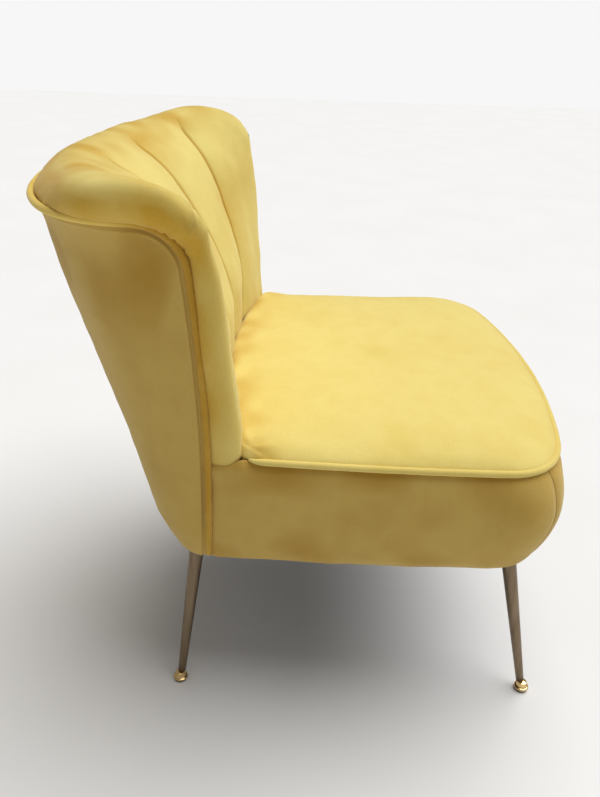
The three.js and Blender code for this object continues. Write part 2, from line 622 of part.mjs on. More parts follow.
function buildBase() {
  const holes = [];
  const frontTop = [SEAT_HALF_WIDTH_FRONT - FRONT_LEG_INSET[0], SEAT_FRONT_Y + FRONT_LEG_INSET[1]];
  const rearTop = [SHELL_HALF_WIDTH - REAR_LEG_INSET[0], rearY(BODY_BOTTOM) - REAR_LEG_INSET[1]];
  const rear = rearFace(FRAME_BOTTOM, BLOCK_TOP, PIPE_CLEARANCE);
  for (const [name, side] of sides) {
    const frontHole = buildLeg(`front_${name}_leg`, legAxis(side, frontTop, FRONT_SPLAY));
    const ends = [side * (SEAT_TURN_END + BUTT), side * (SEAT_SIDE_END - BUTT)].sort((a, b) => a - b);
    const face = seatFace(...ends, FRAME_BOTTOM, BLOCK_TOP);
    add(`front_${name}_block`, 'timber', cut(board(face, 8, 1, blockIn, BLOCK_DEPTH), [frontHole]));
    const rearHole = buildLeg(`rear_${name}_leg`, legAxis(side, rearTop, REAR_SPLAY));
    const share = REAR_BLOCK.map((station) => station / REAR_STATIONS);
    const corner = part(rear, stretchOn(side, share), [0, 1]);
    add(`rear_${name}_block`, 'timber', cut(rearBlock(inward(corner, rearIn, true)), [rearHole]));
    holes.push(frontHole, rearHole);
  }
  const ring = [];
  const edge = BORDER_TUCK + railIn;
  for (let i = 0; i <= SEAT_STATIONS; i += 1) {
    const [x, y] = seatOutline(lerp(-1, 1, i / SEAT_STATIONS), edge);
    ring.push([x, y]);
  }
  const behind = inward(rearFace(BODY_BOTTOM, BODY_BOTTOM + 1, PIPE_CLEARANCE), railIn);
  for (let i = 1; i < 16; i += 1) {
    const point = behind(i / 16, 0);
    ring.push([point.x, point.y]);
  }
  const under = (z) => ring.map(([x, y]) => vec(x, y, z));
  const top = FRAME_BOTTOM - GAP;
  add('dust_cover', 'lining', cut(loft([under(top - 1.4), under(top)]), holes));
}

const INNER_ROWS = 12;
const BACK_BOTTOM = SEAT_HEIGHT + GAP;
function buildBack() {
  const face = innerFace(BACK_BOTTOM);
  const wingEdge = (v) => lerp(SEAM_WING_LOW, SEAM_WING_HIGH, clamp(v / SHOULDER, 0, 1)) / 2;
  const seams = [
    () => WING_TURN,
    (v) => 0.5 - wingEdge(v),
    () => 0.5 - SEAM_CENTRE / 2,
    () => 0.5 + SEAM_CENTRE / 2,
    (v) => 0.5 + wingEdge(v),
    () => 1 - WING_TURN,
  ];
  const borders = sides.map(([name, side]) => {
    const border = wingBorder(side);
    const wrap = side > 0 ? border : (u, v) => border(1 - u, v);
    const piece = part(wrap, side > 0 ? [BORDER_TRIM, 1] : [0, 1 - BORDER_TRIM], BORDER_SPAN);
    add(`${name}_wing_border`, 'velvet', layer(piece, 5, 10, 0, COVER));
    const padding = part(piece, [0, 1], PADDING_SPAN);
    add(`${name}_wing_padding`, 'wadding', layer(padding, 5, 8, wingPadIn, wingPadIn + WING_PADDING));
    return layer(piece, 5, 10, -1, wingPadIn + WING_PADDING + 2 * GAP);
  });
  const panels = ['right_wing_cover', 'right_channel_cover', 'centre_channel_cover',
    'left_channel_cover', 'left_wing_cover'];
  const foamCutters = [...borders];
  panels.forEach((name, i) => {
    const strip = (u, v) => face(lerp(seams[i](v) + SEAM, seams[i + 1](v) - SEAM, u), v);
    const panel = part(strip, [0, 1], COVER_SPAN);
    const cover = layer(panel, 4, INNER_ROWS, 0, COVER);
    const isWing = i === 0 || i === panels.length - 1;
    add(name, 'velvet', isWing ? cut(cover, [borders[i === 0 ? 0 : 1]]) : cover);
    if (isWing) {
      foamCutters.push(layer(panel, 4, INNER_ROWS, -1, COVER + 1));
    }
  });
  const foamIn = COVER + FOAM_CLEARANCE;
  const foamOut = (u, v) => {
    const place = Math.abs(2 * u - 1);
    const roll = clamp((v - SHOULDER) / (1 - SHOULDER), 0, 1);
    return foamIn + lerp(BACK_FOAM, BACK_FOAM_EDGE, Math.max(place ** 4, roll));
  };
  const foam = part(face, FOAM_WIDTH, FOAM_SPAN);
  add('back_foam', 'foam', cut(layer(foam, 20, INNER_ROWS, foamIn, foamOut), foamCutters));

  const rear = rearFace(BODY_BOTTOM, PIPE_TOP - PIPE_CLEARANCE, PIPE_CLEARANCE);
  add('outer_back_cover', 'velvet', layer(rear, REAR_STATIONS, 12, 0, COVER));
  const shell = rearFace(FRAME_BOTTOM, PIPE_TOP - 2 * PIPE_CLEARANCE, PIPE_CLEARANCE);
  const most = [1 / REAR_STATIONS, 1 - 1 / REAR_STATIONS];
  add('back_shell', 'timber', board(part(shell, most, [0, 1]), REAR_STATIONS - 2, 10, shellIn, PLYWOOD));

  const postIn = rearIn + POST_CLEARANCE;
  const postFace = rearFace(FRAME_TOP + GAP, POST_TOP, PIPE_CLEARANCE);
  for (const [name, side] of sides) {
    const post = part(postFace, stretchOn(side, POST), [0, 1]);
    add(`${name}_back_post`, 'timber', board(post, 2, 6, postIn, RAIL));
  }
  const topFace = rearFace(POST_TOP - TOP_RAIL_HEIGHT, POST_TOP, PIPE_CLEARANCE);
  add('back_top_rail', 'timber', board(part(topFace, TOP_RAIL, [0, 1]), 16, 1, postIn, RAIL));

  const line = [];
  const levels = 9;
  for (let i = 0; i < levels; i += 1) {
    const z = lerp(BODY_BOTTOM + 14, cornerHeight, i / levels);
    line.push(vec(shellHalfWidth(z), pipeY(z, 0), z));
  }
  for (let i = 0; i <= 8; i += 1) {
    const angle = (Math.PI / 2) * (i / 8);
    const z = cornerHeight + PIPE_CORNER * Math.sin(angle);
    line.push(vec(shellHalfWidth(z), cornerCentre - PIPE_CORNER * Math.cos(angle), z));
  }
  for (let i = 1; i <= 8; i += 1) {
    line.push(rearPoint(1 - i / 16, PIPE_TOP, 0));
  }
  const mirrored = line.slice(0, -1).reverse().map((point) => vec(-point.x, point.y, point.z));
  add('back_piping', 'piping', pipe([...line, ...mirrored], 96));
}

buildSeatCovers();
buildCushion();
buildSeatFrame();
buildBase();
buildBack();

export default chair;
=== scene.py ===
"""Looks of an armless wing-back cocktail chair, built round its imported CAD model.

Shapes are worked out in millimetres in the CAD's frame (X width, the sitter faces -Y, Z up) and
turned into metres when a mesh is made. The chair is symmetrical about X = 0.
"""
import math

import bmesh
import bpy
import numpy as np
from mathutils import Matrix, Vector


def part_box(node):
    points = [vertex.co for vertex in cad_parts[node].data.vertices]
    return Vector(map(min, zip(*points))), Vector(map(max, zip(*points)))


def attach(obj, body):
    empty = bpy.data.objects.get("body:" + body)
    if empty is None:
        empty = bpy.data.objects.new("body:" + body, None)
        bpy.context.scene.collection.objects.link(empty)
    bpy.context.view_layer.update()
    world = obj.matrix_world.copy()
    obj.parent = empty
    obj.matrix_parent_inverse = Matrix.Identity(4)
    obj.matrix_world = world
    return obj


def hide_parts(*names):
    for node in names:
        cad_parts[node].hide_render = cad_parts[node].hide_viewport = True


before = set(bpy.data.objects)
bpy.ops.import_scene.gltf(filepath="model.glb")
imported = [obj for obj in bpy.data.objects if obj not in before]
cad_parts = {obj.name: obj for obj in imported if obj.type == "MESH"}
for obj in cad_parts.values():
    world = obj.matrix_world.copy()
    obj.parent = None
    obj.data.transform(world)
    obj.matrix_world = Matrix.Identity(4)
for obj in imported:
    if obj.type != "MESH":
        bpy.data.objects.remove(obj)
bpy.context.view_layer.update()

MM = 0.001


def box(node):
    """Lowest and highest corner of a CAD node, in millimetres."""
    return [np.array(corner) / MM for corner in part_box(node)]


# Driving sizes taken from the frame
seat_pipe_low, seat_pipe_high = box("seat_piping")
back_pipe_high = box("back_piping")[1]
PIPE_RADIUS = (seat_pipe_high[2] - seat_pipe_low[2]) / 2
SEAT_HEIGHT = (seat_pipe_high[2] + seat_pipe_low[2]) / 2
SEAT_FRONT_Y = seat_pipe_low[1] + PIPE_RADIUS
SEAT_HALF_FRONT = seat_pipe_high[0] - PIPE_RADIUS
PIPE_TOP = back_pipe_high[2] - PIPE_RADIUS
BODY_BOTTOM = box("outer_back_cover")[0][2]

# Seat
SEAT_TAPER = 19  # narrowing of each half towards the rear
SEAT_HALF_REAR = SEAT_HALF_FRONT - SEAT_TAPER
SEAT_FRONT_BOW = 23  # how far the middle of the front stands ahead of the corners
SEAT_CORNER = 88  # length of the rounded corner along each side
SEAT_CROWN = 30
REAR_RISE = 12  # the cushion's rear edge stands above the piping
BORDER_BULGE = 6
BORDER_TUCK = 10
BORDER_CURL = 9  # extra turn of the front's lower edge
CORNER_BULGE = 20  # extra fullness of the front corners below the piping
CORNER_REACH = 70
SEAM_DEPTH = 3.0
SEAM_SHARE = 0.55  # place of the border's seam round the front corner
LINING_SAG = 5.0
LINING_THICKNESS = 0.8

# Legs
FOOT_NECK = 6.9  # radius of the foot under the tube
TUBE_RADII = (6.0, 11.0)

# Back: piping
TUBE_SIDES = 18
PIPE_CORNER = 55  # radius where the side run turns into the rear run
PIPE_SIDE_Y = 128
PIPE_SIDE_CURVE = 0.00018
CORNER_HEIGHT = PIPE_TOP - PIPE_CORNER
SEAT_REAR_Y = PIPE_SIDE_Y - 1.5  # the seat's sides end under the piping

# Back: rear face
REAR_Y = 277
REAR_LEAN = 0.275
REAR_BULGE = 7
REAR_POWER = 2.4  # squareness in plan
REAR_CURL = 8  # extra turn of its lower edge
SHELL_HALF_WIDTH = 286
SHELL_FLARE = 30
SHELL_FLARE_POWER = 1.6

# Back: inner face
LUMBAR_Y = 117
LUMBAR_HEIGHT = 520
INNER_LEAN = 0.0335
SHOULDER_HEIGHT = 700
WING_HALF_WIDTH = 281
WING_FLARE = 36
WING_FLARE_POWER = 1.7
WING_Y = 80
WING_LEAN = 0.07
WING_HOOK = 0.33  # extra lean of the wing edge above the hook height
HOOK_HEIGHT = 690
HOOK_REACH = 12
FOOT_SEAM_DROP = 11  # the wing border's lower seam, below the seat piping

# Back: rim
CREST_HEIGHT = 775
CREST_RISE = 18  # the crest climbs near its ends
CREST_END = 300
CREST_ROUND = 85
EDGE_ROUND = 30
WING_PUFF = (3, 18)  # fullness of the wings' sides at the seat and above the full height
PUFF_HEIGHT = 640
PUFF_REACH = 18
REAR_PUFF = 3.5  # fullness just above the rear run of the piping
REAR_PUFF_REACH = 7
REAR_ROLL = 0.38  # forward lean of the rim above the piping
ROLL_AT_CORNERS = 1.2

# Back: sewn channels
SEAM_CENTRE = 0.19  # centre channel's edge, as a share of the inner half width
SEAM_WING = (0.5, 0.6)  # wing panel's edge at the seat and at the shoulder
CHANNEL_DEPTH = 9.0
CHANNEL_REACH = 24
CREASE_DEPTH = 2.2
CREASE_REACH = 2.2
# width of the painted shade along each seam
CREASE_SHADE_REACH = 3.4
CHANNEL_FADE = (752, 800)  # heights between which the channels run out
RIM_FADE = (0.34, 0.6)  # and shares of the way over the rim
GATHER_DEPTH = 1.7
GATHER_TURNS = 33


def smoothstep(low, high, value):
    t = np.clip((value - low) / (high - low), 0, 1)
    return t * t * (3 - 2 * t)


def unit(vectors):
    return vectors / np.linalg.norm(vectors, axis=-1, keepdims=True)


def smax(a, b, reach):
    """The larger of two fields, rounded where they meet."""
    overlap = np.maximum(reach - np.abs(a - b), 0) / reach
    return np.maximum(a, b) + overlap ** 2 * reach / 4


def waves(points, length, count=14, seed=1):
    """Smooth noise from -1 to 1: crossing waves about one length long."""
    draw = np.random.default_rng(seed)
    ways = draw.normal(size=(count, 3))
    ways = unit(ways) * draw.uniform(0.7, 1.4, (count, 1))
    shift = draw.uniform(0, 2 * math.pi, count)
    total = np.sin(points @ ways.T * (2 * math.pi / length) + shift).sum(-1)
    return total / math.sqrt(count)


def length_along(line):
    return np.concatenate([[0], np.cumsum(np.linalg.norm(np.diff(line, axis=0), axis=1))])


# ---------------- seat outline

def bezier2(a, b, c, count=240):
    t = np.linspace(0, 1, count)[:, None]
    return (1 - t) ** 2 * np.array(a) + 2 * t * (1 - t) * np.array(b) + t ** 2 * np.array(c)


def seat_edge():
    """Plan line from the left side seam to the middle of the front."""
    corner_y = SEAT_FRONT_Y + SEAT_FRONT_BOW
    corner_x = SEAT_HALF_FRONT - SEAT_CORNER
    tip = corner_y + SEAT_FRONT_BOW / (corner_x / 2) * SEAT_CORNER
    start = (SEAT_HALF_REAR, SEAT_REAR_Y)
    end = (SEAT_HALF_FRONT, corner_y + SEAT_CORNER)
    middle = (SEAT_HALF_FRONT, start[1] + (end[1] - start[1]) * 0.55)
    side = bezier2(start, middle, end)
    turn = bezier2(end, (SEAT_HALF_FRONT, tip), (corner_x, corner_y))
    front = bezier2((corner_x, corner_y), (corner_x / 2, SEAT_FRONT_Y), (0, SEAT_FRONT_Y))
    line = np.vstack([side, turn[1:], front[1:]])
    length = length_along(line)
    return line, length / length[-1], length[-1], len(side), len(side) + len(turn) - 1


EDGE, EDGE_SHARE, EDGE_LENGTH, side_end, turn_end = seat_edge()
SEAT_SIDE_END = 1 - EDGE_SHARE[side_end - 1]
SEAT_TURN_END = 1 - EDGE_SHARE[turn_end - 1]
SEAT_SEAM = SEAT_TURN_END + SEAM_SHARE * (SEAT_SIDE_END - SEAT_TURN_END)
SEAT_WING_END = 1 - (SEAT_REAR_Y - WING_Y) / EDGE_LENGTH


def seat_outline(place, inset=0.0):
    """Point on the seat's plan, -1 at the right seam through 0 in front to 1 at the left."""
    place, inset = np.broadcast_arrays(np.asarray(place, float), inset)
    way = 1 - np.abs(place)
    step = 0.002
    point, ahead, behind = (
        np.stack([np.interp(at, EDGE_SHARE, EDGE[:, k]) for k in (0, 1)], -1)
        for at in (way, way + step, way - step))
    tangent = ahead - behind
    tangent[way > 1 - step] = (-1, 0)  # the line runs straight on over the middle of the front
    tangent = unit(tangent)
    x = point[..., 0] + inset * tangent[..., 1]
    y = point[..., 1] - inset * tangent[..., 0]
    return np.stack([np.where(place < 0, -x, x), y], -1)


def bulge(z):
    t = np.clip((z - BODY_BOTTOM) / (SEAT_HEIGHT - BODY_BOTTOM), 0, 1)
    return BORDER_BULGE * np.sin(np.pi * t) - BORDER_TUCK * (1 - t) ** 3


def foot_seam(y):
    """Height of the seam where a wing's border meets the seat's side."""
    return SEAT_HEIGHT - FOOT_SEAM_DROP * smoothstep(WING_Y - 4, WING_Y + 26, y)


# ---------------- back field

def side_run_y(z):
    return PIPE_SIDE_Y + PIPE_SIDE_CURVE * (z - SEAT_HEIGHT) ** 2


CORNER_CENTRE = side_run_y(CORNER_HEIGHT) + PIPE_CORNER


def pipe_y(z, clearance=0.0):
    radius = PIPE_CORNER - clearance
    up = np.clip(z - CORNER_HEIGHT, 0, radius)
    corner = CORNER_CENTRE - np.sqrt(radius ** 2 - up ** 2)
    return np.where(z <= CORNER_HEIGHT, side_run_y(z) + clearance, corner)


def past_pipe(y, z):
    """How far a point seen from the side lies in front of or above the piping."""
    ahead = side_run_y(np.minimum(z, CORNER_HEIGHT)) + PIPE_CORNER - y
    above = z - CORNER_HEIGHT
    outside = np.hypot(np.maximum(ahead, 0), np.maximum(above, 0))
    return outside + np.minimum(np.maximum(ahead, above), 0) - PIPE_CORNER


def shell_half_width(z):
    t = np.clip((z - BODY_BOTTOM) / (PIPE_TOP - BODY_BOTTOM), 0, 1)
    return SHELL_HALF_WIDTH + SHELL_FLARE * t ** SHELL_FLARE_POWER


def rear_y(z):
    t = np.clip((z - SEAT_HEIGHT) / (PIPE_TOP - SEAT_HEIGHT), 0, 1)
    return REAR_Y + REAR_LEAN * (z - SEAT_HEIGHT) + REAR_BULGE * np.sin(np.pi * t)


def half_inner(z):
    t = np.clip((z - SEAT_HEIGHT) / (SHOULDER_HEIGHT - SEAT_HEIGHT), 0, 1)
    return WING_HALF_WIDTH + WING_FLARE * (1 - (1 - t) ** WING_FLARE_POWER)


def inner_y(x, z):
    hook = WING_HOOK * HOOK_REACH * np.logaddexp(0, (z - HOOK_HEIGHT) / HOOK_REACH)
    edge = WING_Y + WING_LEAN * (z - SEAT_HEIGHT) + hook
    middle = LUMBAR_Y + INNER_LEAN * np.maximum(z - LUMBAR_HEIGHT, 0) ** 1.5
    return middle - (middle - edge) * (x / half_inner(z)) ** 2


def front_wall(x, y, z):
    step = 0.5
    across = (inner_y(x + step, z) - inner_y(x - step, z)) / (2 * step)
    up = (inner_y(x, z + step) - inner_y(x, z - step)) / (2 * step)
    return (inner_y(x, z) - y) / np.sqrt(1 + across ** 2 + up ** 2)


def outer_wall(x, y, z):
    """Distance outside the rear face carried on upwards, puffed and leaning past the piping."""
    half = shell_half_width(z)
    origin = pipe_y(z)
    depth = rear_y(z) - origin
    across = np.abs(x) / half + 1e-6
    back = np.maximum(y - origin, 0) / depth
    reach = (across ** REAR_POWER + back ** REAR_POWER) ** (1 / REAR_POWER)
    power = REAR_POWER - 1
    slope = np.hypot(across ** power / half, back ** power / depth) / reach ** power
    sideways = (across / reach) ** REAR_POWER
    past = np.maximum(past_pipe(y, z), 0)
    puff = WING_PUFF[0] + (WING_PUFF[1] - WING_PUFF[0]) * smoothstep(SEAT_HEIGHT, PUFF_HEIGHT, z)
    puff = puff * (1 - np.exp(-past / PUFF_REACH))
    on_side = smoothstep(0.5, 1, sideways)
    at_corner = ROLL_AT_CORNERS * sideways * (1 - sideways)
    lean = REAR_ROLL * (1 - sideways ** 3 + at_corner) * past
    rear_puff = REAR_PUFF * (1 - on_side) * (1 - np.exp(-past / REAR_PUFF_REACH))
    # takes back what the rounding of the crest removes beside the piping
    to_crest = CREST_HEIGHT - np.minimum(z, PIPE_TOP)
    under_crest = np.maximum(CREST_ROUND - to_crest, 0) ** 2 / (4 * CREST_ROUND)
    return (reach - 1) / slope - on_side * puff - rear_puff - under_crest + lean


def back_field(points):
    """Zero on the inner upholstery's outside, below zero inside it."""
    x, y, z = np.moveaxis(points, -1, 0)
    top = z - CREST_HEIGHT - CREST_RISE * (x / CREST_END) ** 8
    walls = smax(front_wall(x, y, z), outer_wall(x, y, z), EDGE_ROUND)
    return smax(walls, top, CREST_ROUND)


def slope_of(field, points, step=0.4):
    parts = []
    for axis in range(3):
        shift = np.zeros(3)
        shift[axis] = step
        parts.append((field(points + shift) - field(points - shift)) / (2 * step))
    return np.stack(parts, -1)


def project(field, points, rounds=10):
    for _ in range(rounds):
        slope = slope_of(field, points)
        move = field(points) / np.maximum((slope ** 2).sum(-1), 0.05)
        points = points - np.clip(move, -8, 8)[..., None] * slope
    return points


# ---------------- mesh helpers

def grid_quads(index):
    a, b, c, d = index[:-1, :-1], index[:-1, 1:], index[1:, 1:], index[1:, :-1]
    return np.stack([a, b, c, d], -1).reshape(-1, 4)


def edge_links(quads):
    return np.concatenate([quads[:, [k, (k + 1) % 4]] for k in range(4)])


def ring_faces(rows, sides):
    """Faces of stacked rings, closed by fans to a first and a last middle point."""
    index = np.arange(rows * sides).reshape(rows, sides)
    index = np.hstack([index, index[:, :1]])
    faces = grid_quads(index).tolist()
    for k in range(sides):
        faces.append([index[0, k], rows * sides, index[0, k + 1]])
        faces.append([index[-1, k + 1], rows * sides + 1, index[-1, k]])
    return faces


def thicken(points, quads, inner):
    """A sheet and its inner copy, joined round the sheet's open edges."""
    count = len(points)
    known = set(map(tuple, edge_links(quads).tolist()))
    rim = [(a, b) for a, b in known if (b, a) not in known]
    walls = np.array([(b, a, a + count, b + count) for a, b in sorted(rim)])
    faces = np.vstack([quads, quads[:, ::-1] + count, walls])
    return np.vstack([points, inner]), faces


def make(name, points, faces, material, nap_and_shade=None, painted_highlight=None):
    """A piece from millimetre points, with the velvet's colour attributes: crushed pile with
    painted shade, and a painted highlight.
    """
    mesh = bpy.data.meshes.new(name)
    places = (np.asarray(points) * MM).tolist()
    mesh.from_pydata(places, [], [list(map(int, face)) for face in faces])
    for key, values in (("nap_and_shade", nap_and_shade), ("painted_highlight", painted_highlight)):
        if values is not None:
            layer = mesh.attributes.new(key, "FLOAT", "POINT")
            layer.data.foreach_set("value", np.clip(values, 0, 1).astype(np.float32))
    work = bmesh.new()
    work.from_mesh(mesh)
    bmesh.ops.recalc_face_normals(work, faces=work.faces[:])
    work.to_mesh(mesh)
    work.free()
    mesh.shade_smooth()
    mesh.materials.append(material)
    piece = bpy.data.objects.new(name, mesh)
    bpy.context.scene.collection.objects.link(piece)
    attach(piece, "root")
    return piece


def normals_of(points, quads):
    a, b, c, d = (points[quads[:, k]] for k in range(4))
    face = np.cross(c - a, d - b)
    total = np.zeros_like(points)
    for k in range(4):
        np.add.at(total, quads[:, k], face)
    return total / np.maximum(np.linalg.norm(total, axis=1, keepdims=True), 1e-9)


def resample(line, count):
    line = np.asarray(line, float)
    length = length_along(line)
    at = np.linspace(0, length[-1], count)
    return np.stack([np.interp(at, length, line[:, k]) for k in range(3)], -1)


def soften(line, rounds):
    line = line.copy()
    for _ in range(rounds):
        line[1:-1] = (line[:-2] + 2 * line[1:-1] + line[2:]) / 4
    return line


def tube(line, radius, taper, uneven):
    """A closed tube along a line, with rounded ends that narrow to the taper's shares."""
    line = np.asarray(line, float)
    count = len(line)
    tangent = unit(np.gradient(line, axis=0))
    side = np.cross(tangent[0], (0, 0, 1.0))
    if np.linalg.norm(side) < 0.1:
        side = np.cross(tangent[0], (1.0, 0, 0))
    rings = []
    length = length_along(line)
    angle = np.linspace(0, 2 * np.pi, TUBE_SIDES, endpoint=False)
    lumps = 1 + uneven * waves(line, 26, seed=4)
    for k in range(count):
        side = side - tangent[k] * side.dot(tangent[k])
        side /= np.linalg.norm(side)
        up = np.cross(tangent[k], side)
        size = radius * lumps[k]
        for end, gap in ((taper[0], length[k]), (taper[1], length[-1] - length[k])):
            size *= end + (1 - end) * smoothstep(0, 24, gap)
            size *= math.sqrt(max(1 - (1 - min(gap / radius, 1)) ** 2, 0.02))
        turn = np.outer(np.cos(angle), side) + np.outer(np.sin(angle), up)
        rings.append(line[k] + size * turn)
    return np.vstack(rings + [line[:1], line[-1:]]), ring_faces(count, TUBE_SIDES)


def turned(profile, sides=64):
    """A closed solid of revolution about Z from an outline that starts and ends on the axis."""
    angle = np.linspace(0, 2 * np.pi, sides, endpoint=False)
    radius, height = np.array(profile, float).T
    inside = slice(1, -1)
    ring = np.stack([np.outer(radius[inside], np.cos(angle)),
                     np.outer(radius[inside], np.sin(angle)),
                     np.outer(height[inside], np.ones(sides))], -1)
    points = np.vstack([ring.reshape(-1, 3), [[0, 0, height[0]], [0, 0, height[-1]]]])
    return points, ring_faces(len(ring), sides)


# ---------------- materials

class Shader:
    """A short way to write a node material."""

    def __init__(self, name, **values):
        self.material = bpy.data.materials.new(name)
        self.material.use_nodes = True
        self.tree = self.material.node_tree
        self.surface = self.tree.nodes["Principled BSDF"]
        for key, value in values.items():
            self.surface.inputs[key.replace("_", " ")].default_value = value

    def put(self, socket, value):
        if isinstance(value, bpy.types.NodeSocket):
            self.tree.links.new(value, socket)
        else:
            socket.default_value = value

    def add(self, kind, **values):
        node = self.tree.nodes.new("ShaderNode" + kind)
        for key, value in values.items():
            name = key.replace("_", " ")
            if name in node.inputs:
                self.put(node.inputs[name], value)
            else:
                setattr(node, key, value)
        return node

    def feed(self, key, socket):
        self.tree.links.new(socket, self.surface.inputs[key])

    def place(self, scale=(1, 1, 1)):
        where = self.add("TexCoord")
        return self.add("Mapping", Vector=where.outputs["Object"], Scale=scale).outputs["Vector"]

    def noise(self, scale, detail=2.0, roughness=0.5, stretch=(1, 1, 1)):
        node = self.add("TexNoise", Vector=self.place(stretch), Scale=scale, Detail=detail,
                        Roughness=roughness)
        return node.outputs["Fac"]

    def ramp(self, factor, *stops):
        node = self.add("ValToRGB", Fac=factor)
        ramp = node.color_ramp
        while len(ramp.elements) < len(stops):
            ramp.elements.new(0.5)
        for element, (position, colour) in zip(ramp.elements, stops):
            element.position = position
            element.color = (*colour, 1)
        return node.outputs["Color"]

    def mix(self, factor, a, b, blend="MIX"):
        node = self.add("Mix", data_type="RGBA", blend_type=blend)
        self.put(node.inputs[0], factor)
        for socket, value in zip(node.inputs[6:8], (a, b)):
            self.put(socket, (*value, 1) if isinstance(value, tuple) else value)
        return node.outputs[2]

    def math(self, operation, a, b):
        node = self.add("Math", operation=operation)
        for socket, value in zip(node.inputs, (a, b)):
            self.put(socket, value)
        return node.outputs[0]

    def bump(self, *layers):
        normal = None
        for height, distance in layers:
            node = self.add("Bump", Height=height, Distance=distance, Strength=1.0)
            if normal is not None:
                self.tree.links.new(normal, node.inputs["Normal"])
            normal = node.outputs["Normal"]
        self.feed("Normal", normal)


PAINTED_HIGHLIGHT_COLOUR = (0.95, 0.80, 0.30)  # painted highlight on the velvet


def velvet(name, light, middle, deep_nap_and_shade, nap_seed=0.0):
    """Short-pile velvet: brushed patches of tone, a deeper colour for crushed pile and for painted
    shade, a painted highlight, fine pile.
    """
    shader = Shader(name, Roughness=0.82, Sheen_Weight=0.35, Sheen_Roughness=0.38,
                    Sheen_Tint=(1.0, 0.93, 0.66, 1), Specular_IOR_Level=0.18)
    patches = shader.noise(5.5 + nap_seed, 4, 0.55)
    brushed = shader.noise(26, 3, 0.6, (1, 1, 0.25))
    tone = shader.math("ADD", shader.math("MULTIPLY", patches, 0.75),
                       shader.math("MULTIPLY", brushed, 0.25))
    colour = shader.ramp(tone, (0.30, middle), (0.5, light), (0.68, middle))
    # noise that breaks up the deeper colour
    nap_and_shade_breakup = shader.math("ADD", shader.noise(16, 5, 0.65), 0.5)
    # deeper colour: crushed nap and random patches, and painted shade in the seams, beside the
    # piping and at the seat's rear
    nap_and_shade_amount = shader.add("Attribute", attribute_name="nap_and_shade").outputs["Fac"]
    colour = shader.mix(shader.math("MULTIPLY", nap_and_shade_amount, nap_and_shade_breakup), colour, deep_nap_and_shade)
    # painted highlight on the rim's sides
    painted_highlight_amount = shader.add("Attribute", attribute_name="painted_highlight").outputs["Fac"]
    colour = shader.mix(painted_highlight_amount, colour, PAINTED_HIGHLIGHT_COLOUR)
    pile = shader.noise(1500, 2, 0.7)
    grey = shader.ramp(pile, (0.3, (0.35, 0.35, 0.35)), (0.7, (1, 1, 1)))
    colour = shader.mix(0.22, colour, grey, "MULTIPLY")
    shader.feed("Base Color", colour)
    shader.bump((shader.noise(240, 2), 0.0003), (pile, 0.00025))
    return shader.material


cloth = velvet("velvet_golden", (0.83, 0.68, 0.22), (0.78, 0.61, 0.165), (0.62, 0.37, 0.04))
# a darker copy of the golden velvet: painted shade on the outer back and the seat's borders
painted_shade_velvet = velvet("velvet_painted_shade", (0.60, 0.41, 0.105), (0.545, 0.36, 0.085),
                     (0.45, 0.26, 0.035), 1.5)
welt_cloth = velvet("velvet_piping", (0.88, 0.66, 0.16), (0.80, 0.55, 0.10),
                    (0.52, 0.29, 0.03), 9)


def metal(name, base, dark, roughness, grain):
    shader = Shader(name, Metallic=1.0)
    streaks = shader.noise(90, 3, 0.6, grain)
    shader.feed("Base Color", shader.ramp(streaks, (0.3, dark), (0.65, base)))
    low, high = roughness
    rough = shader.add("MapRange", Value=streaks, To_Min=low, To_Max=high)
    shader.feed("Roughness", rough.outputs["Result"])
    shader.bump((shader.noise(500, 2, 0.6, grain), 0.00002))
    return shader.material


bronze = metal("antique_bronze", (0.25, 0.185, 0.12), (0.15, 0.11, 0.07), (0.26, 0.42),
               (1, 1, 0.06))
brass = metal("polished_brass", (0.86, 0.62, 0.30), (0.70, 0.47, 0.20), (0.10, 0.22), (1, 1, 1))
steel = metal("zinc_steel", (0.62, 0.63, 0.65), (0.45, 0.46, 0.48), (0.3, 0.5), (1, 1, 1))


def plain(name, light, dark, scale, roughness, stretch=(1, 1, 1), relief=0.0002):
    shader = Shader(name, Roughness=roughness)
    grain = shader.noise(scale, 5, 0.6, stretch)
    shader.feed("Base Color", shader.ramp(grain, (0.35, dark), (0.65, light)))
    shader.bump((grain, relief))
    return shader.material


timber = plain("beech", (0.55, 0.38, 0.21), (0.40, 0.25, 0.12), 30, 0.6, (0.15, 1, 1))
plywood = plain("plywood", (0.60, 0.44, 0.26), (0.47, 0.32, 0.17), 24, 0.6, (1, 1, 0.12))
rubber = plain("nylon_glide", (0.035, 0.03, 0.028), (0.02, 0.018, 0.016), 200, 0.5)


def woven(name, light, dark, threads, roughness):
    """A plain weave from two crossed wave textures."""
    shader = Shader(name, Roughness=roughness)
    bands = []
    for way in ("X", "Y"):
        wave = shader.add("TexWave", Vector=shader.place(), Scale=threads, bands_direction=way)
        bands.append(wave.outputs["Fac"])
    weave = shader.math("MULTIPLY", *bands)
    fuzz = shader.noise(300, 3)
    tone = shader.math("ADD", shader.math("MULTIPLY", weave, 0.6),
                       shader.math("MULTIPLY", fuzz, 0.4))
    shader.feed("Base Color", shader.ramp(tone, (0.2, dark), (0.8, light)))
    shader.bump((weave, 0.0003), (fuzz, 0.0002))
    return shader.material


webbing = woven("jute_webbing", (0.10, 0.09, 0.08), (0.04, 0.035, 0.03), 120, 0.9)
lining = woven("cambric_lining", (0.045, 0.045, 0.05), (0.018, 0.018, 0.02), 260, 0.95)


# ---------------- inner back

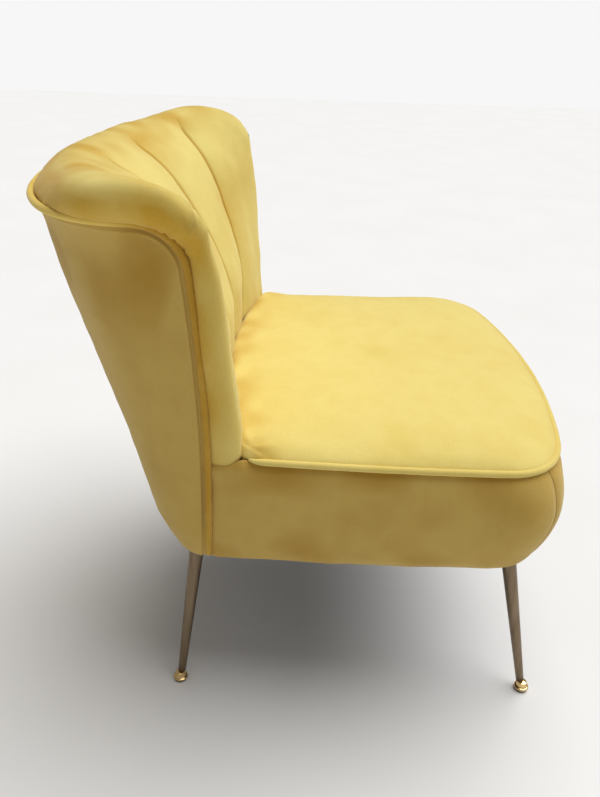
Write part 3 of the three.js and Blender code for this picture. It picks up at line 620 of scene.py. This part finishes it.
def clustered(knots, count):
    """Stations through the knots, closer together beside each knot."""
    stations = []
    for low, high in zip(knots, knots[1:]):
        t = np.arange(count) / count
        stations.append(low + (high - low) * (t - 0.72 * np.sin(2 * np.pi * t) / (2 * np.pi)))
    return np.concatenate(stations + [[knots[-1]]])


COLUMNS = 28  # between neighbouring seams
FACE_ROWS = 60
RIM_ROWS = 36
WING_STATION = 0.55  # the wing seam's station, which its own curve then moves
RIM_FAN = 1.25  # the rim's lines spread towards the wings
RIM_REAR = 0.85  # share of the rim that ends on the rear run of the piping
RIM_SWELL = 9
INNER_HANDLE = 88
OUTER_HANDLE = 80


def bezier3(a, b, c, d, t):
    return (1 - t) ** 3 * a + 3 * t * (1 - t) ** 2 * b + 3 * t ** 2 * (1 - t) * c + t ** 3 * d


def pipe_corner(side, angle):
    z = CORNER_HEIGHT + PIPE_CORNER * np.sin(angle)
    y = CORNER_CENTRE - PIPE_CORNER * np.cos(angle)
    return np.stack([side * shell_half_width(z), y, z], -1)


def rear_point(place, z, clearance=0.0):
    """Outer back in plan: 0 at the right piping, 0.5 in the middle, 1 at the left piping."""
    side = pipe_y(z, clearance)
    tuck = np.minimum(bulge(z), 0)
    angle = np.pi * place
    power = 2 / REAR_POWER
    x = -np.sign(np.cos(angle)) * (shell_half_width(z) + tuck) * np.abs(np.cos(angle)) ** power
    y = side + (rear_y(z) + tuck - side) * np.maximum(np.sin(angle), 0) ** power
    return np.stack([x, y, z + 0 * x], -1)


def inner_seed(bottom):
    """Face and rim grids: columns from wing to wing, rows up the face and then over the rim."""
    knots = [-1, -WING_STATION, -SEAM_CENTRE, SEAM_CENTRE, WING_STATION, 1]
    station = clustered(knots, COLUMNS)
    z = np.linspace(bottom, SHOULDER_HEIGHT, FACE_ROWS + 1)[:, None]
    rise = (z - bottom) / (SHOULDER_HEIGHT - bottom)
    wing = SEAM_WING[0] + (SEAM_WING[1] - SEAM_WING[0]) * rise
    away = np.abs(station)[None]
    middle_share = (away - SEAM_CENTRE) / (WING_STATION - SEAM_CENTRE)
    wing_share = (away - WING_STATION) / (1 - WING_STATION)
    place = np.where(
        away <= SEAM_CENTRE, away + 0 * rise,
        np.where(away <= WING_STATION, SEAM_CENTRE + middle_share * (wing - SEAM_CENTRE),
                 wing + wing_share * (1 - wing)))
    place = place * np.sign(station)[None]
    x = place * half_inner(z)
    face = np.stack([x, inner_y(x, z), z + 0 * x], -1)

    top = place[-1]
    side, away = np.sign(top), np.abs(top)
    spread = away ** RIM_FAN
    rear_place = 0.5 + side * np.minimum(spread / RIM_REAR, 1) / 2
    on_rear = rear_point(rear_place, np.full_like(top, PIPE_TOP))
    past_rear = (spread - RIM_REAR) / (1 - RIM_REAR)
    on_corner = pipe_corner(side, np.pi / 2 * (1 - past_rear / 2))
    end = np.where((spread > RIM_REAR)[:, None], on_corner, on_rear)
    climb = unit(face[-1] - face[-2])
    swell = RIM_SWELL * smoothstep(0.7, 1, away) * side
    start_handle = face[-1] + INNER_HANDLE * climb + np.stack([swell, 0 * swell, 0 * swell], -1)
    bow = away ** 2
    end_handle = end + np.stack([RIM_SWELL * side * bow, -70 + 55 * bow, 78 + 7 * bow], -1)
    t = np.linspace(0, 1, RIM_ROWS + 1)[:, None, None]
    t = t + 0.06 * np.sin(2 * np.pi * t) / (2 * np.pi)
    rim = bezier3(face[-1][None], start_handle[None], end_handle[None], end[None], t)
    return face, rim


def border_seed(face, rim, side):
    """Strips from one wing edge round to the side run of the piping; the last is the rim's edge."""
    column = 0 if side < 0 else -1
    start = face[:, column]
    run = CORNER_HEIGHT - start[0, 2]
    turn = np.pi / 4 * PIPE_CORNER
    way = np.linspace(0, 1, FACE_ROWS + 1) * (run + turn)
    z = start[0, 2] + np.minimum(way, run)
    on_side = np.stack([side * shell_half_width(z), side_run_y(z), z], -1)
    on_corner = pipe_corner(side, np.maximum(way - run, 0) / PIPE_CORNER)
    end = np.where((way > run)[:, None], on_corner, on_side)
    blend = smoothstep(0.6, 1, way / way[-1])[:, None]
    off_wing = np.array([side * 16.0, -3.0, 0.0])
    off_pipe = np.array([side * 9.0, -16.0, 0.0])
    top_start = INNER_HANDLE * unit(rim[4, column] - rim[0, column])
    top_end = OUTER_HANDLE * unit(rim[-5, column] - rim[-1, column])
    start_handle = start + off_wing * (1 - blend) + top_start * blend
    end_handle = end + off_pipe * (1 - blend) + top_end * blend
    t = np.linspace(0, 1, RIM_ROWS + 1)[None, :, None]
    return bezier3(start[:, None], start_handle[:, None], end_handle[:, None], end[:, None], t)


def run_length(grid, axis):
    step = np.linalg.norm(np.diff(grid, axis=axis), axis=-1)
    zero = np.zeros_like(np.take(step, [0], axis=axis))
    return np.concatenate([zero, np.cumsum(step, axis=axis)], axis=axis)


def even_out(points, quads, loose):
    """Spreads the grid's loose points evenly over the back's surface."""
    links = edge_links(quads)
    degree = np.zeros(len(points))
    np.add.at(degree, links[:, 0], 1)
    np.add.at(degree, links[:, 1], 1)
    for _ in range(5):
        for _ in range(6):
            total = np.zeros_like(points)
            np.add.at(total, links[:, 0], points[links[:, 1]])
            np.add.at(total, links[:, 1], points[links[:, 0]])
            points = points + 0.5 * loose[:, None] * (total / degree[:, None] - points)
        points = project(back_field, points, 3)
    return points


def inner_grids(bottom):
    """Points, faces and the point numbers of the face, the rim and the two wing borders."""
    face, rim = inner_seed(bottom)
    rows, columns = face.shape[:2]
    on_face = np.arange(rows * columns).reshape(rows, columns)
    count = rows * columns
    fresh = count + np.arange(RIM_ROWS * columns).reshape(RIM_ROWS, columns)
    on_rim = np.vstack([on_face[-1:], fresh])
    count += RIM_ROWS * columns
    points = np.vstack([face.reshape(-1, 3), rim[1:].reshape(-1, 3)])
    on_border = {}
    for side, column in ((-1, 0), (1, -1)):
        border = border_seed(face, rim, side)
        fresh = count + np.arange((rows - 1) * RIM_ROWS).reshape(rows - 1, RIM_ROWS)
        count += fresh.size
        body = np.hstack([on_face[:-1, [column]], fresh])
        on_border[side] = np.vstack([body, on_rim[:, column][None]])
        points = np.vstack([points, border[:-1, 1:].reshape(-1, 3)])
    quads = np.vstack([grid_quads(on_face), grid_quads(on_rim),
                       grid_quads(on_border[1]), grid_quads(on_border[-1])[:, ::-1]])

    # the wings' grids fan round the corner of the piping, so only they are evened out
    away = np.abs(np.linspace(-1, 1, columns))
    loose = np.zeros(len(points))
    for side in (-1, 1):
        loose[on_border[side]] = 1
    loose[on_rim] = np.maximum(loose[on_rim], smoothstep(0.75, 0.95, away)[None])
    for edge in (on_face[0], on_rim[-1], on_border[-1][:, -1], on_border[1][:, -1],
                 on_border[-1][0], on_border[1][0]):
        loose[edge] = 0
    points = even_out(project(back_field, points), quads, loose)
    return points, quads, on_face, on_rim, on_border


def channels(base, on_face, on_rim):
    """Depth of the sewn channels, and painted shade along their four seams."""
    depth = np.zeros(len(base))
    nap_and_shade = np.zeros(len(base))
    for index in (on_face, on_rim):
        along = run_length(base[index], 1)
        seams = along[:, [COLUMNS * k for k in range(1, 5)]]
        gap = np.abs(along[:, :, None] - seams[:, None, :]).min(-1)
        fade = 1 - smoothstep(*CHANNEL_FADE, base[index][..., 2])
        if index is on_rim:
            fade *= 1 - smoothstep(*RIM_FADE, np.linspace(0, 1, RIM_ROWS + 1))[:, None]
        crease = CREASE_DEPTH * np.exp(-(gap / CREASE_REACH) ** 2)
        depth[index] = -fade * (CHANNEL_DEPTH * np.exp(-gap / CHANNEL_REACH) + crease)
        # painted shade in each seam's crease
        nap_and_shade[index] = fade * np.exp(-(gap / CREASE_SHADE_REACH) ** 1.5)
    return depth, nap_and_shade


def gap_to_piping(base, on_rim, on_border):
    """How far each point lies from the piping, over the surface."""
    gap = np.full(len(base), 1e3)
    for side in (-1, 1):
        index = on_border[side]
        run = run_length(base[index], 1)
        gap[index] = np.minimum(gap[index], run[:, -1:] - run)
    run = run_length(base[on_rim], 0)
    gap[on_rim] = np.minimum(gap[on_rim], run[-1:] - run)
    return gap


def rim_painted_shade_and_highlight(base, normal, gap):
    """Painted shade in a band beside the piping, darker mustard on the upward-facing crest, and a
    painted highlight on the rim's sides.
    """
    high = smoothstep(660, 720, base[:, 2])
    # painted shade in a band beside the piping
    band = 1 - smoothstep(6 + 22 * high, 58, gap)
    band *= 0.72 + 0.25 * high + 0.25 * waves(base, 110, seed=14)
    # painted highlight on the rim's side-facing parts towards the rear
    ridge = smoothstep(34, 52, gap) * (1 - smoothstep(80, 120, gap))
    ridge = ridge * smoothstep(190, 235, base[:, 1]) * smoothstep(0.15, 0.5, np.abs(normal[:, 0]))
    highlight_streaks = np.clip(0.75 + 0.45 * waves(base * (1, 0.35, 1), 34, seed=16), 0, 1)
    # darker on the upward-facing crest
    crest = smoothstep(0.7, 1, normal[:, 2]) * smoothstep(740, 765, base[:, 2])
    crest = 0.5 * crest * (0.8 + 0.5 * waves(base, 70, seed=15))
    return np.maximum(band, crest), 0.85 * ridge * highlight_streaks


def gathers(base, gap):
    """Small folds where the cloth is eased round the corner of the piping."""
    around = np.arctan2(base[:, 2] - CORNER_HEIGHT, CORNER_CENTRE - base[:, 1])
    at_corner = smoothstep(0.02, 0.35, around) * (1 - smoothstep(0.95, 1.35, around))
    at_corner *= np.abs(base[:, 0]) > 270
    folds = np.sin(around * GATHER_TURNS + 0.8 * waves(base, 40, seed=9))
    return GATHER_DEPTH * at_corner * folds * np.exp(-gap / 15)


def inner_back():
    bottom = SEAT_HEIGHT + 1
    base, quads, index_face, index_rim, index_border = inner_grids(bottom)
    normal = unit(slope_of(back_field, base))
    depth, nap_and_shade = channels(base, index_face, index_rim)
    pipe_gap = gap_to_piping(base, index_rim, index_border)
    # painted shade beside the piping, a darker crest, and a painted highlight on the rim's sides
    band, painted_highlight = rim_painted_shade_and_highlight(base, normal, pipe_gap)
    depth -= 1.6 * np.exp(-(pipe_gap / 5) ** 2) + 0.8 * np.exp(-pipe_gap / 12)
    depth += gathers(base, pipe_gap)
    depth += 1.1 * waves(base, 130, seed=2) + 0.35 * waves(base, 45, seed=3)

    # the face dips behind the cushion, and the borders come down to their seam on the seat's side
    low = np.maximum(base[:, 2] - bottom, 0)
    on_border = np.zeros(len(base))
    for side in (-1, 1):
        on_border[index_border[side]] = 1
    on_face = np.zeros(len(base))
    away = np.abs(np.linspace(-1, 1, index_face.shape[1]))
    on_face[index_face] = smoothstep(1, 0.94, away)[None]
    depth -= 7 * np.exp(-(low / 7) ** 1.3) * on_face
    depth -= 0.7 * np.exp(-(low / 2) ** 2) * on_border
    outer = base + depth[:, None] * normal
    outer[:, 2] += (foot_seam(outer[:, 1]) + 0.2 - bottom) * np.exp(-low / 16) * on_border

    # the cloth turns in under the piping and at the foot
    inner_depth = 4 + 9 * smoothstep(4, 30, np.minimum(pipe_gap, low + 4))
    inner = outer - inner_depth[:, None] * normal
    inner[:, 2] = np.maximum(inner[:, 2], np.minimum(bottom - 2, outer[:, 2] - 2))
    points, faces = thicken(outer, quads, inner)
    # painted shade in the seams and beside the piping, a darker crest, and random deeper patches
    nap_and_shade = np.maximum(nap_and_shade, band) + 0.25 * np.maximum(waves(base, 160, seed=12), 0)
    piece = make("inner_back", points, faces, cloth, np.tile(nap_and_shade, 2), np.tile(painted_highlight, 2))
    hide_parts("right_wing_cover", "right_channel_cover", "centre_channel_cover",
                "left_channel_cover", "left_wing_cover", "right_wing_border", "left_wing_border",
                "back_foam", "right_wing_padding", "left_wing_padding")


# ---------------- outer back

def outer_back():
    """Smooth cover of the rear face, with a lip under the rails and a fold along the piping."""
    t = np.linspace(0, 1, 221)
    place = t - 0.93 * np.sin(2 * np.pi * t) / (2 * np.pi)
    place = 0.5 + (place - 0.5) * (1 - 2e-4)
    up = 1 - (1 - np.linspace(0, 1, 121)) ** 1.35
    z = BODY_BOTTOM + (PIPE_TOP - 2.0 - BODY_BOTTOM) * up
    grid = rear_point(place[None], z[:, None] + 0 * place[None], 2.0)
    centre = (0, 150.0)
    lip = []
    for inset, drop in ((16, 0.5), (8, -1.0), (2.5, -0.6)):
        row = grid[0].copy()
        row[:, :2] -= inset * unit(row[:, :2] - centre)
        row[:, 2] += drop
        lip.append(row)
    grid = np.vstack([np.stack(lip), grid])
    away = unit(grid[..., :2] - centre)
    curl = REAR_CURL * np.exp(-((grid[..., 2] - BODY_BOTTOM) / 12) ** 2) * np.sin(np.pi * place)
    grid[..., :2] -= curl[..., None] * away
    points = grid.reshape(-1, 3)
    quads = grid_quads(np.arange(len(points)).reshape(grid.shape[:2]))[:, ::-1]
    normal = normals_of(points, quads)
    inside = -past_pipe(points[:, 1], points[:, 2])
    depth = 1.7 * smoothstep(7.5, 9.5, inside) + 0.8 * np.exp(-((inside - 10.2) / 1.6) ** 2) - 1.2
    depth += 0.9 * waves(points, 170, seed=21) * smoothstep(10, 60, inside)
    depth += 0.25 * waves(points, 38, seed=22) * smoothstep(10, 40, inside)
    outer = points + depth[:, None] * normal
    high = smoothstep(PIPE_TOP - 190, PIPE_TOP - 20, points[:, 2])
    nap_and_shade = 0.9 * high * smoothstep(-0.1, 1.4, waves(points * (1, 1, 0.4), 75, seed=31))
    points, faces = thicken(outer, quads, outer - 2.5 * normal)
    piece = make("outer_back", points, faces, painted_shade_velvet, np.tile(nap_and_shade, 2))
    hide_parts("outer_back_cover")


# ---------------- piping

def back_line():
    z = np.linspace(BODY_BOTTOM + 1, CORNER_HEIGHT, 60, endpoint=False)
    swell = np.minimum(bulge(z), 0) + 0.5 * np.maximum(bulge(z), 0)
    side = np.stack([shell_half_width(z) + swell, side_run_y(z), z], -1)
    corner = pipe_corner(1, np.linspace(0, np.pi / 2, 30))
    place = 1 - 0.5 * np.linspace(0, 1, 60)[1:]
    rear = rear_point(place, np.full(len(place), PIPE_TOP))
    start = side[0] + np.array([[-20, 0, -1.5], [-9, 0, -2.2]])
    half = np.vstack([start, side, corner, rear])  # the left half, to the middle of the rear
    return np.vstack([half, half[-2::-1] * (-1, 1, 1)])


def piping():
    """The two welts; the back's is darker along the sides than along the rim, partly its own deeper
    pile and partly painted shade.
    """
    line = soften(resample(back_line(), 620), 12)
    points, faces = tube(line, PIPE_RADIUS, (1, 1), 0.025)
    at = np.vstack([np.repeat(line, TUBE_SIDES, axis=0), line[:1], line[-1:]])
    # the side run is deeper: partly the welt's nap, partly painted shade
    run = smoothstep(CORNER_CENTRE + 40, CORNER_CENTRE - 30, at[:, 1])
    piece = make("back_welt", points, faces, welt_cloth, 0.15 + 0.8 * run)
    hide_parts("back_piping")

    reach = SEAT_WING_END - 11 / EDGE_LENGTH
    place = np.linspace(-reach, reach, 500)
    plan = seat_outline(place, 0.5)
    line = np.column_stack([plan, np.full(len(plan), SEAT_HEIGHT)])
    # both ends run on behind the wings' feet
    right_tail, left_tail = (
        line[end] + [[side * 5, 9, 1], [side * 1.5, 4, 0.4]] for end, side in ((0, 1), (-1, -1)))
    line = soften(resample(np.vstack([right_tail, line, left_tail[::-1]]), 560), 10)
    points, faces = tube(line, PIPE_RADIUS, (0.5, 0.5), 0.02)
    piece = make("seat_welt", points, faces, cloth, np.full(len(points), 0.12))
    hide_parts("seat_piping")


# ---------------- seat

def seat_side(name, start, end, columns, nodes):
    """A border of the seat from its lip under the rails to the seam under the piping."""
    t = np.linspace(0, 1, columns + 1)
    place = start + (end - start) * (t - 0.6 * np.sin(2 * np.pi * t) / (2 * np.pi))
    away = np.abs(place)
    top = SEAT_HEIGHT - 2.5
    z = BODY_BOTTOM + 2 + (top - BODY_BOTTOM - 2) * np.linspace(0, 1, 64)
    lip = np.array([(-24, 1), (-12, -0.5), (-4, -0.4), (-1.2, 0.4)]) + (-BORDER_TUCK, BODY_BOTTOM)
    outset, z = np.vstack([lip, np.column_stack([bulge(z), z])]).T[..., None]
    below_top = top - z
    edge_gap = np.abs(away - SEAT_SEAM) * EDGE_LENGTH
    rear_gap = (1 - away) * EDGE_LENGTH

    # rolled in under the piping, or flush with the wing's border behind it
    under_wing = smoothstep(SEAT_WING_END - 0.012, SEAT_WING_END + 0.012, away)
    roll = 3.5 * np.exp(-(below_top / 7) ** 2)
    flush = 5 * np.exp(-(below_top / 30) ** 2) - 6 * np.exp(-(below_top / 4) ** 2)
    curl = BORDER_CURL * np.exp(-((z - BODY_BOTTOM) / 10) ** 2) * smoothstep(1, SEAT_SEAM, away)
    rise = np.clip((z - BODY_BOTTOM) / (SEAT_HEIGHT - BODY_BOTTOM), 0, 1)
    full = CORNER_BULGE * np.sin(np.pi * rise ** 1.25) ** 0.8
    outset = outset - roll * (1 - under_wing) + flush * under_wing - curl
    outset = outset + full * np.exp(-(edge_gap / CORNER_REACH) ** 2)
    outset = outset - SEAM_DEPTH * np.exp(-edge_gap / 6) - 4 * np.exp(-(rear_gap / 7) ** 1.5)
    plan = seat_outline(place[None] + 0 * outset, -outset)
    drop = top - 4 - foot_seam(plan[..., 1])
    height = z - drop * np.clip(1 - below_top / 60, 0, 1) * under_wing
    plan[..., 1] += (side_run_y(height) - PIPE_SIDE_Y) * smoothstep(70, 0, rear_gap)
    points = np.concatenate([plan, height[..., None]], -1).reshape(-1, 3)
    quads = grid_quads(np.arange(len(points)).reshape(height.shape))
    normal = normals_of(points, quads)
    inwards = normal[:, 1] if name == "seat_front" else normal[:, 0] * -np.sign(start + end)
    if inwards.sum() > 0:
        quads = quads[:, ::-1]
        normal = -normal
    uneven = 0.8 * waves(points, 120, seed=41) + 0.25 * waves(points, 36, seed=42)
    outer = points + uneven[:, None] * normal
    # painted shade just under the piping and in the corner seam's crease, over random deeper
    # patches
    under = np.exp(-((top - points[:, 2]) / 9) ** 2)
    nap_and_shade = 0.5 * under + 0.35 * np.maximum(waves(points, 110, seed=45), 0)
    nap_and_shade = np.maximum(nap_and_shade, 0.5 * np.tile(np.exp(-edge_gap / 3), len(height)))
    points, faces = thicken(outer, quads, outer - 6 * normal)
    piece = make(name, points, faces, painted_shade_velvet, np.tile(nap_and_shade, 2))
    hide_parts(*nodes)


def cushion():
    """Crowned seat cushion: rings from the middle out to the piping, and a flat underside."""
    around = 360
    front = np.linspace(-SEAT_WING_END, SEAT_WING_END, 281)
    plan = seat_outline(front, PIPE_RADIUS * 0.55)
    half = plan[-1, 0]
    x = np.linspace(-half, half, around - 281 + 2)[1:-1][::-1]
    rear = np.column_stack([x, inner_y(x, np.full_like(x, SEAT_HEIGHT + 8)) + 9])
    ring = np.vstack([plan, rear])
    for _ in range(2):
        ring = (np.roll(ring, 1, 0) + 2 * ring + np.roll(ring, -1, 0)) / 4
    centre = np.array([0.0, (SEAT_FRONT_Y + LUMBAR_Y) / 2])
    share = np.sin(np.linspace(0, 1, 66)[1:] * np.pi / 2) ** 0.9
    rearness = smoothstep(30, 110, ring[:, 1])
    edge = SEAT_HEIGHT + 1.5
    rows = []
    for s in share:
        dome = SEAT_CROWN * (1 - s ** 4.2) ** 0.62
        rear_rise = REAR_RISE * rearness * s ** 6 * (1 - 0.9 * s ** 60)
        rows.append(np.column_stack([centre + (ring - centre) * s, edge + dome + rear_rise]))
    points = np.vstack(rows)
    # small pulls in the cloth beside each wing's foot, and a slow unevenness over the whole seat
    for side in (-1, 1):
        foot = np.array([side * (WING_HALF_WIDTH + 2), WING_Y - 4])
        away = points[:, :2] - foot
        far = np.linalg.norm(away, axis=1)
        angle = np.arctan2(away[:, 0] * -side, -away[:, 1])
        points[:, 2] += 2.2 * np.sin(angle * 7.5 + 0.6) * np.exp(-far / 26) * smoothstep(0, 10, far)
    inside = np.repeat(smoothstep(1.0, 0.94, share), len(ring))
    points[:, 2] += inside * (0.9 * waves(points, 150, seed=51) + 0.25 * waves(points, 45, seed=52))
    middle = points[:len(ring), 2].mean()
    away = unit(ring - centre)
    skirt = [np.column_stack([ring - inset * away, np.full(len(ring), edge - drop)])
             for drop, inset in ((9, 3.0), (30, 5.0), (60, 6.0), (78, 9.0))]
    points = np.vstack([points, *skirt, [[*centre, middle]], [[*centre, edge - 78]]])
    faces = ring_faces(len(share) + len(skirt), len(ring))
    # painted shade towards the seat's rear, where it meets the back
    back = smoothstep(40, 118, points[:, 1] + 37 * (points[:, 0] / 250) ** 2)
    nap_and_shade = 0.65 * back ** 2 * (0.6 + 0.4 * waves(points, 60, seed=55))
    piece = make("seat_cushion", points, faces, cloth, nap_and_shade)
    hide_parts("seat_top_cover", "seat_foam")


# ---------------- legs

def leg(name):
    """Glide, foot and tapering tube; the tube leans from its foot's middle to its plate's."""
    foot_low, foot_high = box(f"{name}_foot")
    plate_low, plate_high = box(f"{name}_plate")
    glide_low, glide_high = box(f"{name}_glide")
    foot = (foot_low + foot_high) / 2
    head = (plate_low + plate_high) / 2
    under = (foot[0], foot[1], 0)
    glide = (glide_high[0] - glide_low[0]) / 2
    top = glide_high[2]
    points, faces = turned([(0, 0), (glide - 0.8, 0), (glide, 0.8), (glide, top - 0.6),
                            (glide - 0.6, top), (0, top)])
    piece = make(f"{name}_pad", points + under, faces, rubber)
    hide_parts(f"{name}_glide")

    radius = (foot_high[0] - foot_low[0]) / 2
    base, top = foot_low[2], foot_high[2]
    profile = [(0, base), (radius - 1.4, base), (radius - 0.5, base + 0.35), (radius, base + 1.1),
               (radius, base + 2.4), (radius - 0.5, base + 3.1), (radius - 1.6, base + 3.6)]
    for t in np.linspace(0, np.pi / 2, 9):
        profile.append((radius - 1.9 - (radius - 1.9 - FOOT_NECK) * math.sin(t),
                        base + 3.7 + 4.3 * (1 - math.cos(t))))
    profile += [(FOOT_NECK, top - 0.5), (FOOT_NECK - 0.5, top), (0, top)]
    points, faces = turned(profile)
    piece = make(f"{name}_ferrule", points + under, faces, brass)
    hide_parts(f"{name}_foot")

    direction = unit(np.array([head[0] - foot[0], head[1] - foot[1], plate_low[2]]))
    slant = math.sqrt(1 - direction[2] ** 2)
    narrow, wide = TUBE_RADII
    low = top + 0.3 + narrow * slant
    high = plate_low[2] - 0.3 - wide * slant
    length = (high - low) / direction[2]
    start = under + direction * (low / direction[2])
    profile = [(0, 0), (narrow - 0.5, 0), (narrow, 0.5), (narrow + 0.5, length * 0.1),
               (8.5, length * 0.5), (wide - 0.5, length * 0.9), (wide, length - 0.5),
               (wide - 0.5, length), (0, length)]
    points, faces = turned(profile)
    turn = Vector((0, 0, 1)).rotation_difference(Vector(direction)).to_matrix()
    piece = make(f"{name}_shaft", points @ np.array(turn).T + start, faces, bronze)
    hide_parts(f"{name}_tube")


def mounting_plate(name):
    """Rounded plate with four pan-head screws."""
    low, high = box(f"{name}_plate")
    centre = (low + high) / 2
    half = (high[0] - low[0]) / 2
    corners = ((1, 1), (-1, 1), (-1, -1), (1, -1))
    angle = np.concatenate([quarter + np.linspace(0, np.pi / 2, 8)
                            for quarter in np.arange(4) * np.pi / 2])
    outline = np.repeat(corners, 8, axis=0) + np.column_stack([np.cos(angle), np.sin(angle)])
    outline = outline * half / 2
    rings = []
    for share, z in ((0.98, low[2]), (1.0, low[2] + 0.4), (1.0, high[2] - 0.4), (0.98, high[2])):
        ring = outline * share + centre[:2]
        rings.append(np.column_stack([ring, np.full(len(ring), z)]))
    points = np.vstack([*rings, [[*centre[:2], low[2]]], [[*centre[:2], high[2]]]])
    faces = ring_faces(len(rings), len(outline))
    piece = make(f"{name}_bracket", points, faces, bronze)
    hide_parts(f"{name}_plate")
    head = [(0, -1.9), (1.2, -1.8), (2.6, -1.3), (3.2, -0.3), (3.2, 0), (0, 0)]
    screw, faces = turned(head, 24)
    for number, (sx, sy) in enumerate(corners):
        at = (centre[0] + sx * half * 0.62, centre[1] + sy * half * 0.62, low[2] - 0.05)
        piece = make(f"{name}_screw_{number + 1}", screw + at, faces, steel)


def under_lining():
    """Black lining stapled under the rails, with a little sag in its middle."""
    place = np.linspace(-1, 1, 181)
    low, high = box("dust_cover")
    front = seat_outline(place, BORDER_TUCK + 12)
    half = front[-1, 0]
    t = np.linspace(0, 1, 81)[1:-1]
    plan = rear_point(1 - t, np.full_like(t, BODY_BOTTOM), 6)[:, :2]
    plan = plan - 12 * unit(plan - (0, 120))
    plan[:, 0] = np.clip(plan[:, 0], -half, half)
    ring = np.vstack([front, plan])
    centre = np.array([0.0, (low[1] + high[1]) / 2])
    rows = []
    for s in np.linspace(0, 1, 40)[1:]:
        xy = centre + (ring - centre) * s
        uneven = waves(np.column_stack([xy, 0 * xy[:, 0]]), 60, seed=61)
        sag = LINING_SAG * (1 - s ** 2) + 0.5 * uneven * (1 - s)
        rows.append(np.column_stack([xy, BODY_BOTTOM - 1.4 - sag]))
    middle = np.array([[*centre, BODY_BOTTOM - 1.4 - LINING_SAG]])
    under = (0, 0, LINING_THICKNESS)
    points = np.vstack([*rows, *(row - under for row in rows[::-1]), middle, middle - under])
    faces = ring_faces(2 * len(rows), len(ring))
    piece = make("under_lining", points, faces, lining)
    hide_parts("dust_cover")


# ---------------- the object

inner_back()
outer_back()
piping()
seat_side("seat_side_right", -1, -SEAT_SEAM, 70, ["right_seat_border"])
seat_side("seat_front", -SEAT_SEAM, SEAT_SEAM, 130, ["front_seat_border", "seat_border_padding"])
seat_side("seat_side_left", SEAT_SEAM, 1, 70, ["left_seat_border"])
cushion()
for ends in ("front", "rear"):
    for hand in ("right", "left"):
        leg(f"{ends}_{hand}_leg")
        mounting_plate(f"{ends}_{hand}_leg")
under_lining()

# the frame's own solids keep their CAD shapes and get a finish each
for node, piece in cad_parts.items():
    if node == "back_shell":
        finish = plywood
    elif "web" in node:
        finish = webbing
    elif "stud" in node:
        finish = steel
    else:
        finish = timber
    if not piece.hide_render:
        for slot in piece.material_slots:
            slot.material = finish


# ---------------- stage, light and camera

def studio():
    """Pale floor, soft light from above and a white backdrop that only the camera sees."""
    steps = np.linspace(-9000, 9000, 9)
    x, y = np.meshgrid(steps, steps)
    points = np.column_stack([x.ravel(), y.ravel(), np.zeros(x.size)])
    mesh = bpy.data.meshes.new("floor")
    mesh.from_pydata((points * MM).tolist(), [], grid_quads(np.arange(81).reshape(9, 9)).tolist())
    shader = Shader("pale_floor", Roughness=0.9, Specular_IOR_Level=0.1)
    grey = shader.ramp(shader.noise(3, 2), (0.3, (0.77, 0.77, 0.765)), (0.7, (0.79, 0.79, 0.79)))
    shader.feed("Base Color", grey)
    mesh.materials.append(shader.material)
    floor = bpy.data.objects.new("floor", mesh)
    bpy.context.scene.collection.objects.link(floor)

    world = bpy.data.worlds.new("studio")
    world.use_nodes = True
    tree = world.node_tree
    sky = tree.nodes["Background"]
    backdrop = tree.nodes.new("ShaderNodeBackground")
    for node, colour, strength in ((sky, (1, 0.96, 0.90, 1), 0.27), (backdrop, (1, 1, 1, 1), 0.93)):
        node.inputs["Color"].default_value = colour
        node.inputs["Strength"].default_value = strength
    seen = tree.nodes.new("ShaderNodeLightPath").outputs["Is Camera Ray"]
    choice = tree.nodes.new("ShaderNodeMixShader")
    tree.links.new(seen, choice.inputs[0])
    tree.links.new(sky.outputs[0], choice.inputs[1])
    tree.links.new(backdrop.outputs[0], choice.inputs[2])
    tree.links.new(choice.outputs[0], tree.nodes["World Output"].inputs["Surface"])
    bpy.context.scene.world = world

    data = bpy.data.lights.new("softbox", "SUN")
    data.energy = 3.15
    data.angle = 1.1
    lamp = bpy.data.objects.new("softbox", data)
    lamp.rotation_euler = Vector((-0.24, 0.36, -1.0)).to_track_quat("-Z", "Y").to_euler()
    bpy.context.scene.collection.objects.link(lamp)


def camera():
    """The camera recovered from the photo; its roll turns the picture about the line of sight."""
    place = Vector((-1.03323, 0.0286, 0.92254))
    yaw, pitch, roll = -0.0179, 0.4918, 0.0356
    level = Vector((math.cos(yaw), math.sin(yaw), 0))
    ahead = level * math.cos(pitch) - Vector((0, 0, math.sin(pitch)))
    right = Vector((level.y, -level.x, 0))
    up = right.cross(ahead)
    turned_right = math.cos(roll) * right + math.sin(roll) * up
    turned_up = math.cos(roll) * up - math.sin(roll) * right
    data = bpy.data.cameras.new("camera")
    data.sensor_width = 36
    data.lens = 31.94
    data.clip_start = 0.01
    lens = bpy.data.objects.new("camera", data)
    axes = Matrix((turned_right, turned_up, -ahead)).transposed()
    lens.matrix_world = Matrix.Translation(place) @ axes.to_4x4()
    bpy.context.scene.collection.objects.link(lens)
    bpy.context.scene.camera = lens


studio()
camera()
bpy.context.scene.view_settings.view_transform = "Standard"
